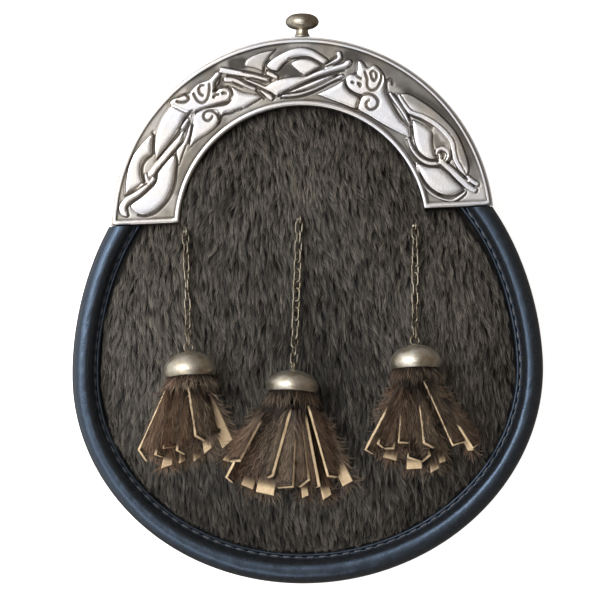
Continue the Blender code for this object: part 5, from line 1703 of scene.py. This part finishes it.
def make_knob(brass):
    """Turned finial: flared neck, and a head like a flattened ball."""
    outward = np.array((math.cos(KNOB_ANGLE), math.sin(KNOB_ANGLE), 0.0))
    foot = CANTLE_OUTER + GAP
    height = KNOB_TOP - foot
    head_low = height - KNOB_HEAD_DEEP
    profile = [(0.0, 0.0), *KNOB_NECK, (KNOB_NECK[-1][0], head_low + 0.4)]
    for k in range(1, 18):
        turn = math.pi * k / 18.0
        upper = k >= 9
        radius = KNOB_HEAD_RADIUS * math.sin(turn) ** 0.82
        rise = KNOB_HEAD_HALF * math.cos(turn) * (1.08 if upper else 1.0)
        if radius > 2.45 or upper:
            profile.append((radius, head_low + KNOB_HEAD_HALF - rise))
    profile.append((0.0, height))
    parts = Parts()
    centre = outward * foot + UP * (CANTLE_LOW + RIM_TOP) / 2.0
    lathe(parts, profile, outward, centre, 64, dull=0.5)
    mesh = turn_out(parts.mesh("knob_finial"))
    add_piece("knob_finial", mesh, brass, ("knob",), flat_from=50)


def cad_axes(name):
    """Middle, long axis and flat normal of a packed link or eye, from its points."""
    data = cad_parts[name].data
    co = np.empty(len(data.vertices) * 3)
    data.vertices.foreach_get("co", co)
    points = np.unique(np.round(co.reshape(-1, 3), 7), axis=0) / MM - ARCH_CENTRE
    middle = points.mean(0)
    _, vectors = np.linalg.eigh(np.cov((points - middle).T))
    return middle, vectors[:, 2], vectors[:, 0]


def wire_loop(parts, centre, along, flat, length, width, steps=28, sides=10):
    """Oval loop of dull round wire, sized at the wire's middle."""
    turn = full_turn(steps)[:, None]
    outward = np.cos(turn) * np.cross(flat, along) + np.sin(turn) * along
    straight = np.sign(np.sin(turn) + 1e-9) * along * (length - width) / 2.0
    path = centre + outward * width / 2.0 + straight
    wire = full_turn(sides)[:, None]
    rings = [place + WIRE_RADIUS * (np.cos(wire) * out + np.sin(wire) * flat)
             for place, out in zip(path, outward)]
    parts.add(rings, grid_faces(steps, sides, wrap_rows=True, wrap_columns=True), dull=1.0)


def link_names(side, links):
    """Names of a chain's packed links, from the eye down."""
    return ["chain_{}_{:02d}".format(side, k) for k in range(1, links + 1)]


def make_chain(side, links, swing, brass):
    """Round wire links and the eye above them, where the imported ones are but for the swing."""
    parts = Parts()
    names = link_names(side, links)
    for number, name in enumerate(names):
        middle, along, flat = cad_axes(name)
        middle = middle + swing * (number / links)
        untwist = CHAIN_UNTWIST * math.sin(math.pi * (number + 1) / (links + 1))
        flat = flat * math.cos(untwist) + np.cross(along, flat) * math.sin(untwist)
        wire_loop(parts, middle, along, flat, LINK_LENGTH, LINK_WIDTH)
    eye = "chain_eye_" + side
    first, _, first_flat = cad_axes(names[0])
    heading = unit(first - cad_axes(names[1])[0])
    place = first + heading * (LINK_INNER_LENGTH / 2.0 + EYE_INNER_RADIUS - GAP)
    flat = unit(np.cross(heading, first_flat))
    wire_loop(parts, place, heading, flat, 2.0 * EYE_RADIUS, 2.0 * EYE_RADIUS)
    foot = np.array((place[0], place[1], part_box(eye)[0].z / MM))
    lathe(parts, EYE_BUTTON, UP, foot, 24, dull=1.0)
    mesh = turn_out(parts.mesh("chain_links_" + side))
    add_piece("chain_links_" + side, mesh, brass, (*names, eye))


def cap_profile(high):
    """Profile of a cap, from its crown down the outside and up the inside."""
    belly = high * CAP_BELLY
    hollow = CAP_RADIUS - CAP_WALL
    profile = [(0.0, high)]
    for k in range(1, 25):
        angle = math.radians(90.0 - 90.0 * k / 24.0)
        profile.append((CAP_RADIUS * math.cos(angle), belly + (high - belly) * math.sin(angle)))
    for share in (0.25, 0.5, 0.75, 1.0):
        profile.append((CAP_RADIUS - 0.7 * share ** 2, belly * (1.0 - share)))
    profile += [(CAP_RADIUS - 0.8, -0.12), (CAP_RADIUS - 0.95, -0.15), (hollow, -0.02)]
    for k in range(1, 8):
        angle = math.radians(90.0 * k / 8.0)
        profile.append((hollow * math.cos(angle), (high - CAP_WALL) * math.sin(angle)))
    return profile + [(0.0, high - CAP_WALL)]


def make_cap(side, axis, centre, high, links, brass):
    """Polished dome, hollow inside, with a thin lip and an eye on its crown."""
    profile = cap_profile(high)
    # Painted shade: the dome darkens towards its rim, standing in for the dark fur it would reflect
    dull = np.interp([level for _, level in profile[1:-1]], (0.0, high * 0.45), (0.50, 0.0))
    dull = np.append(np.repeat(dull, CAP_SIDES), (0.0, 0.6))
    parts = Parts()
    lathe(parts, profile, axis, centre, CAP_SIDES, dull=dull)
    last_link = link_names(side, links)[-1]
    flat = unit(np.cross(axis, cad_axes(last_link)[2]))
    crown = centre + axis * (high + EYE_RISE)
    wire_loop(parts, crown, axis, flat, 2.0 * EYE_RADIUS, 2.0 * EYE_RADIUS)
    lathe(parts, CAP_STEM, axis, centre + axis * high, 24, dull=0.6)
    mesh = turn_out(parts.mesh("cap_dome_" + side))
    name = "cap_dome_" + side
    add_piece(name, mesh, brass, ("tassel_cap_" + side,), flat_from=60)


def sheet_points(bare_edge, across, width, up):
    """Points of a strip's eight-sided section along its length."""
    half = HIDE_THICK / 2.0
    bevel = HIDE_BEVEL
    section = (
        (0.0, half - bevel, 0.0), (bevel, half, 0.0), (-bevel, half, 1.0), (0.0, half - bevel, 1.0),
        (0.0, bevel - half, 1.0), (-bevel, -half, 1.0), (bevel, -half, 0.0), (0.0, bevel - half, 0.0),
    )
    return np.stack([bare_edge + across * (u + width * far) + up * v for u, v, far in section], 1)


def add_sheet(parts, bare_edge, far_edge, tangent, hair_up, bare, worn):
    """Hide strip between two edge paths; returns the direction across it and its upper side."""
    across = far_edge - bare_edge
    width = np.linalg.norm(across, axis=1, keepdims=True)
    across = across / width
    up = unit(np.cross(tangent, across))
    up *= np.sign(up[:, 2:3])
    rows = sheet_points(bare_edge, across, width, up)
    length, count = rows.shape[:2]
    first = np.arange(count)[None]
    last = ((length - 1) * count + np.arange(count))[None, ::-1]
    share = np.linspace(0.0, 1.0, length)
    hidden = np.clip((bare + 0.03 - share) / 0.08, 0.0, 1.0)
    hair = np.repeat(hidden[:, None], count, 1)
    hair[:, (1, 2) if hair_up else (5, 6)] = 1.0
    wear_and_hair_shadow = np.full(length, worn * 0.4)
    # On far strips the hide darkens towards the cap: painted shadow of the hair over it
    if not hair_up:
        fade = (1.0 - share) / max(0.04, 1.1 * (1.0 - bare))
        wear_and_hair_shadow = worn + (0.75 - worn) * np.clip(fade * 1.8 - 0.8, 0.0, 1.0)
    body = grid_faces(length, count, wrap_columns=True)
    values = {"hair_side": hair.ravel(), "worn": np.repeat(wear_and_hair_shadow, count)}
    parts.add(rows, body, first, last, **values)
    return across, up, width


def tip_curl(stations):
    """How far a strip's tip has curled at shares of its length, from 0 to 1."""
    return np.clip((stations - TIP_AT) / (1.0 - TIP_AT), 0.0, 1.0) ** 2


def even_place(edge, share):
    """Place at a share of a path of even steps, and the number of the step below it."""
    steps = len(edge) - 1
    low = min(steps - 1, int(share * steps))
    return edge[low] + (edge[low + 1] - edge[low]) * (share * steps - low), low


def photo_point(pixel):
    """Plan point at a pixel, with no height yet."""
    return np.array((*from_photo(*pixel), 0.0))


class Tassel:
    """Fan of hide strips under a cap, and the tufts of hair on them."""

    def __init__(self, side, tree, axis, centre):
        self.side = side
        self.tree = tree
        self.axis = axis
        self.centre = centre
        self.generator = np.random.default_rng(SEED + len(side))
        self.parts = Parts()
        self.tufts = []
        self.bare_lines = []

    def path(self, start, tip, stations, over, start_level):
        """A strip's path from the cap's mouth to its tip, clear of the fur and lifted at its end."""
        path = start + (tip - start) * stations[:, None]
        floor = np.array([highest(self.tree, x, y, STRIP_CLEAR) for x, y, _ in path])
        straight = start_level + (floor[-1] + over[-1] - start_level) * stations
        path[:, 2] = np.maximum(straight + 1.8 * np.sin(math.pi * stations), floor + over)
        path[:, 2] += 3.6 * tip_curl(stations)
        return path

    def add_bare_line(self, points, half):
        """Remember a bare stretch of the newest strip that other strips' hair keeps off."""
        if len(points) > 1:
            rows = np.column_stack((points[:, :2], np.full(len(points), half)))
            self.bare_lines.append((len(self.tufts), rows))

    def near_strip(self, start_pixel, tip_pixel, corner_pixel, bare, flare, sunk):
        """A strip with its hair side up and one cut edge raised, and the hair on it."""
        stations = np.linspace(0.0, 1.0, 25)
        pixels = (start_pixel, tip_pixel, corner_pixel)
        start, tip, corner = (photo_point(pixel) for pixel in pixels)
        reach = corner - tip
        flat_reach = float(np.linalg.norm(reach))
        upright = math.sqrt(max(0.0, STRIP_WIDTH ** 2 - flat_reach ** 2))
        drop = max(2.45, 0.8 * flat_reach, upright)
        widen = np.interp(stations, (0.0, 0.35, 1.0), (0.3, 0.8, 1.0))
        beside = min(7.4, abs(start[0] - self.centre[0]))
        level = self.centre[2] + min(5.8, math.sqrt(HEAD_RADIUS ** 2 - beside ** 2))
        path = self.path(start, tip, stations, 1.6 + drop * widen, level)
        path[:, 2] -= sunk * np.clip((0.97 - stations) / 0.2, 0.0, 1.0)
        far = path + reach * widen[:, None]
        far[:, 2] -= drop * widen
        tangent = unit(np.gradient(path, axis=0))
        worn = self.generator.uniform(0.0, 0.5)
        across, up, width = add_sheet(self.parts, path, far, tangent, True, bare, worn)
        self.add_bare_line(path[stations >= bare - 0.02], 0.55)
        if bare <= 1.0:
            self.add_bare_line(np.array((path[-1], far[-1])), 0.5)
        self.tufts.append(self.near_hairs(path, tangent, across, up, width, bare, flare))

    def near_hairs(self, path, tangent, across, up, width, bare, flare):
        """Hair on a near strip, whose roots keep off its bare edge."""
        generator = self.generator
        length = float(np.linalg.norm(path[-1] - path[0]))
        hairs = []
        for _ in range(int(NEAR_HAIRS * length / 30.0)):
            share = generator.uniform(0.0, 0.985)
            at, low = even_place(path, share)
            offset = generator.uniform(0.06 if share > bare else -0.12, 1.0)
            place = at + across[low] * width[low] * offset + up[low] * HIDE_THICK * 0.45
            turn = 0.06 + flare * max(0.0, offset) ** 1.3 * (0.35 + 0.65 * share)
            room = (1.0 - share) * length * 0.97
            room += 0.0 if generator.random() < 0.93 else 2.5
            room += 4.0 * (bare > 1.0)
            hairs.append((place, tangent[low], across[low], up[low], turn, room, 1.0))
        return hairs

    def far_strip(self, tip_pixel, wide, bare, slant, tilt_degrees):
        """A strip with its flesh side up and hair below it that shows past its edges."""
        generator = self.generator
        tip = photo_point(tip_pixel)
        cap = self.centre * (1.0, 1.0, 0.0)
        stations = np.linspace(0.0, 1.0, 19)
        start = cap + (tip - cap) * (0.26, 0.0, 0.0)
        over = np.full(len(stations), generator.uniform(1.5, 3.2))
        path = self.path(start, tip, stations, over, self.centre[2] - 2.5)
        path[:, 2] -= 1.8 * tip_curl(stations) * generator.random()
        tangent = unit(np.gradient(path, axis=0))
        tilt = math.radians(tilt_degrees)
        sideways = unit(np.cross(tangent, UP)) * math.cos(tilt) + UP * math.sin(tilt)
        widen = np.interp(stations, (0.0, 0.5, 1.0), (0.45, 0.85, 1.0))[:, None]
        edge = path - sideways * wide * widen / 2.0
        far = edge + sideways * wide * widen
        edge[-1] -= tangent[-1] * slant / 2.0
        far[-1] += tangent[-1] * slant / 2.0
        # Mostly bare strips get more of the painted shadow of the hair over them
        worn = generator.uniform(0.0, 0.40) + (0.30 if bare < 0.5 else 0.0)
        across, up, width = add_sheet(self.parts, edge, far, tangent, False, bare, worn)
        self.add_bare_line(path[stations >= bare - 0.02], 0.42 * wide)
        self.tufts.append(self.far_hairs(edge, tangent, across, up, width, bare))

    def far_hairs(self, edge, tangent, across, up, width, bare):
        """Hair on a far strip: over it where it is hidden, and under it where it is bare."""
        generator = self.generator
        hairs = []
        for _ in range(FAR_HAIRS * (2 if bare > 1.0 else 1)):
            share = generator.uniform(0.2, 1.0)
            at, low = even_place(edge, share)
            offset = generator.uniform(0.0, 1.0)
            under = HIDE_THICK * (0.6 if share > bare - 0.06 else -0.6)
            place = at + across[low] * width[low] * offset - up[low] * under
            spread = (offset - 0.5) * 1.9 + generator.normal(0.0, 0.2)
            hairs.append((place, tangent[low], across[low], up[low], spread, 9.0, 0.4))
        return hairs

    def collar(self):
        """Hair that bursts from the cap's mouth over the tops of the strips."""
        generator = self.generator
        axis = self.axis
        side = unit(np.cross(axis, UP))
        front = np.cross(side, axis)
        hairs = []
        for _ in range(COLLAR_HAIRS):
            turn = generator.uniform(-0.25 * math.pi, 1.25 * math.pi)
            radial = side * math.cos(turn) + front * math.sin(turn)
            place = self.centre + radial * generator.uniform(5.6, 8.6)
            place += axis * generator.uniform(-0.5, 1.0)
            lean = generator.uniform(0.05, 0.55)
            tangent = -axis * math.cos(lean) + radial * math.sin(lean)
            across = unit(np.cross(tangent, radial))
            up = np.cross(across, tangent)
            hairs.append((place, tangent, across, up, generator.normal(0.0, 0.1), 14.0, 1.0))
        self.tufts.append(hairs)

    def keeps_off(self, root, heading, length, owner):
        """Which hairs stay off the bare stretches of the other strips, but for a stray few."""
        share = np.linspace(0.15, 1.0, 9)[None, :, None]
        reach = root[:, None, :2] + heading[:, None, :2] * length[:, None, None] * share
        keep = np.ones(len(root), bool)
        for number, rows in self.bare_lines:
            other = np.flatnonzero(keep & (owner != number))
            depth = bar_depth(reach[other].reshape(-1, 2), rows).reshape(-1, share.shape[1])
            keep[other[(depth > 0.0).any(1)]] = False
        return keep | (self.generator.random(len(root)) < 0.03)

    def hair_tone(self, root, wave, stray):
        """How light each hair is: painted shadow darkens it near the cap, and it is lighter on the
        tassel's left, partly with painted light.
        """
        below = np.linalg.norm(root[:, :2] - self.centre[:2], axis=1)
        leftward = np.clip(0.7 - (root[:, 0] - self.centre[0]) / 14.0, 0.0, 1.6)
        # Painted shadow under the cap; lighter hair and painted light on the tassel's left
        tone = 0.50 + wave * 0.10 - 0.34 * np.exp(-((below / 9.0) ** 2)) + 0.20 * stray
        tone += HAIR_LIGHTER[self.side] * leftward
        return np.clip(tone + self.generator.normal(0.0, 0.22, len(root)), 0.03, 1.0)

    def hair_mesh(self):
        """One joined mesh of the hair on the tassel's strips."""
        generator = self.generator
        tufts = [hair for hairs in self.tufts for hair in hairs]
        owner = np.repeat(np.arange(len(self.tufts)), [len(hairs) for hairs in self.tufts])
        root, run, across, normal, flare, room, near = (np.array(part) for part in zip(*tufts))
        count = len(root)
        x, y = root[:, 0], root[:, 1]
        wave = np.sin(x * 2.3 + y * 0.6) + np.sin(x * 0.9 - y * 1.1)
        stray = generator.random(count) < 0.16
        turn = flare + wave * 0.10 + generator.normal(0.0, 1.0, count) * np.where(stray, 0.50, 0.13)
        heading = unit(run * np.cos(turn)[:, None] + across * np.sin(turn)[:, None])
        length = np.minimum(generator.uniform(5.0, 9.5, count) * (0.65 + 0.35 * near), room)
        width = generator.uniform(0.15, 0.27, count)
        lift = generator.uniform(0.4, 1.7, count) * near
        bend = generator.normal(0.0, 1.1, count)
        tone = self.hair_tone(root, wave, stray)
        red = 0.22 + 0.3 * np.sin(x * 0.21 + 1.0) + generator.normal(0.0, 0.12, count)
        keep = self.keeps_off(root, heading, length, owner)
        values = (root, heading, normal, length, width, lift, bend, tone)
        ribbons = hair_ribbons(*(value[keep] for value in values), generator, 2)
        mesh = ribbon_mesh("tassel_hair_" + self.side, *ribbons)
        red = np.clip(red[keep], 0.0, 0.75)
        add_value(mesh, "red", np.repeat(red, len(ribbons[0]) // len(red)))
        return mesh


def make_tassel(side, tree, axis, centre, hide, hair):
    """Strips and hair of one tassel."""
    tassel = Tassel(side, tree, axis, centre)
    for row in FAR_STRIPS[side]:
        tassel.far_strip(*row)
    for row in NEAR_STRIPS[side]:
        tassel.near_strip(*row)
    tassel.collar()
    lathe(tassel.parts, HEAD_PROFILE, axis, centre, 32, hair_side=1.0, worn=0.5)
    mesh = turn_out(tassel.parts.mesh("tassel_strips_" + side))
    add_piece("tassel_strips_" + side, mesh, hide, ("tassel_" + side,), flat_from=35)
    add_piece("tassel_hair_" + side, tassel.hair_mesh(), hair)


# ---------------------------------------------------------------- studio


def make_camera():
    """Camera straight above, turned as the photograph shows the pouch."""
    data = bpy.data.cameras.new("camera")
    data.lens = LENS
    data.sensor_width = SENSOR
    data.clip_start = 0.05
    data.clip_end = 20.0
    camera = bpy.data.objects.new("camera", data)
    distance = PHOTO_PIXELS * MM_PER_PIXEL * LENS / SENSOR
    camera.location = to_row((*PHOTO_CENTRE, FOCUS_LEVEL + distance))
    camera.rotation_euler = (0.0, 0.0, -PHOTO_TURN)
    bpy.context.scene.collection.objects.link(camera)
    bpy.context.scene.camera = camera


def add_light(name, place, size, energy, colour):
    """Soft area light aimed at the pouch."""
    data = bpy.data.lights.new(name, "AREA")
    data.shape = "ELLIPSE"
    data.size, data.size_y = size
    data.energy = energy
    data.color = colour
    light = bpy.data.objects.new(name, data)
    light.location = place
    light.rotation_euler = (LIGHT_AIM - Vector(place)).to_track_quat("-Z", "Y").to_euler()
    light.visible_camera = False
    bpy.context.scene.collection.objects.link(light)


def make_room():
    """World light that brightens towards the window."""
    world = bpy.data.worlds.new("studio")
    world.use_nodes = True
    tree = world.node_tree
    place = tree.nodes.new("ShaderNodeTexCoord")
    facing = tree.nodes.new("ShaderNodeVectorMath")
    facing.operation = "DOT_PRODUCT"
    facing.inputs[1].default_value = Vector(WINDOW_SIDE).normalized()
    ramp = tree.nodes.new("ShaderNodeValToRGB")
    set_stops(ramp, ROOM_LIGHT)
    background = tree.nodes["Background"]
    tree.links.new(place.outputs["Generated"], facing.inputs[0])
    tree.links.new(facing.outputs["Value"], ramp.inputs["Fac"])
    tree.links.new(ramp.outputs["Color"], background.inputs["Color"])
    background.inputs["Strength"].default_value = ROOM_STRENGTH
    bpy.context.scene.world = world


def make_floor():
    """Pale floor that glows, so that it stays white, and does not show in the metal."""
    half = FLOOR_HALF
    corners = [(-half, -half, 0.0), (half, -half, 0.0), (half, half, 0.0), (-half, half, 0.0)]
    mesh = bpy.data.meshes.new("floor")
    mesh.from_pydata(corners, [], [(0, 1, 2, 3)])
    floor = bpy.data.objects.new("floor", mesh)
    floor.location.z = FLOOR_LEVEL
    floor.visible_glossy = False
    shade = Shade("floor", Roughness=0.9, Emission_Color=(*WHITE, 1.0), Emission_Strength=FLOOR_GLOW)
    shade.drive("Base Color", shade.ramp(shade.noise(90.0, 2.0), FLOOR_SHADES))
    mesh.materials.append(shade.material)
    bpy.context.scene.collection.objects.link(floor)


def make_studio():
    """Room, soft window light from the left, and a pale floor."""
    make_room()
    bpy.context.scene.view_settings.view_transform = "Standard"
    for row in LIGHTS:
        add_light(*row)
    make_floor()


# ---------------------------------------------------------------- assembly


def main():
    """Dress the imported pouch."""
    make_camera()
    make_studio()
    silver = silver_material()
    brass = brass_material("antique_brass", 0.30)
    cap_brass = brass_material("cap_brass", 0.36)
    leather = leather_material("roll_leather", ROLL_BLACK, 0.55, 0.29)
    plain_leather = leather_material("panel_leather", PANEL_BLACK, 0.8, 0.44)
    thread = thread_material()
    fur = hair_material("grey_fur", GREY_HAIR)
    brown = hair_material("tassel_fur", BROWN_HAIR, red=RED_HAIR)
    hide = strip_material()
    make_cantle(silver)
    make_cantle_rims(silver)
    make_knob(brass)
    make_roll(leather)
    make_stitches(thread)
    make_back(plain_leather)
    make_gusset(plain_leather)
    make_skin(skin_material())
    make_fur(fur)
    tree = cad_surface("fur_front")
    for side, (x, y, lean, links, swing, high) in TASSELS.items():
        axis, centre = cap_pose(tree, x, y, lean)
        make_chain(side, links, np.array((*swing, 0.0)), brass)
        make_cap(side, axis, centre, high, links, cap_brass)
        make_tassel(side, tree, axis, centre, hide, brown)


main()
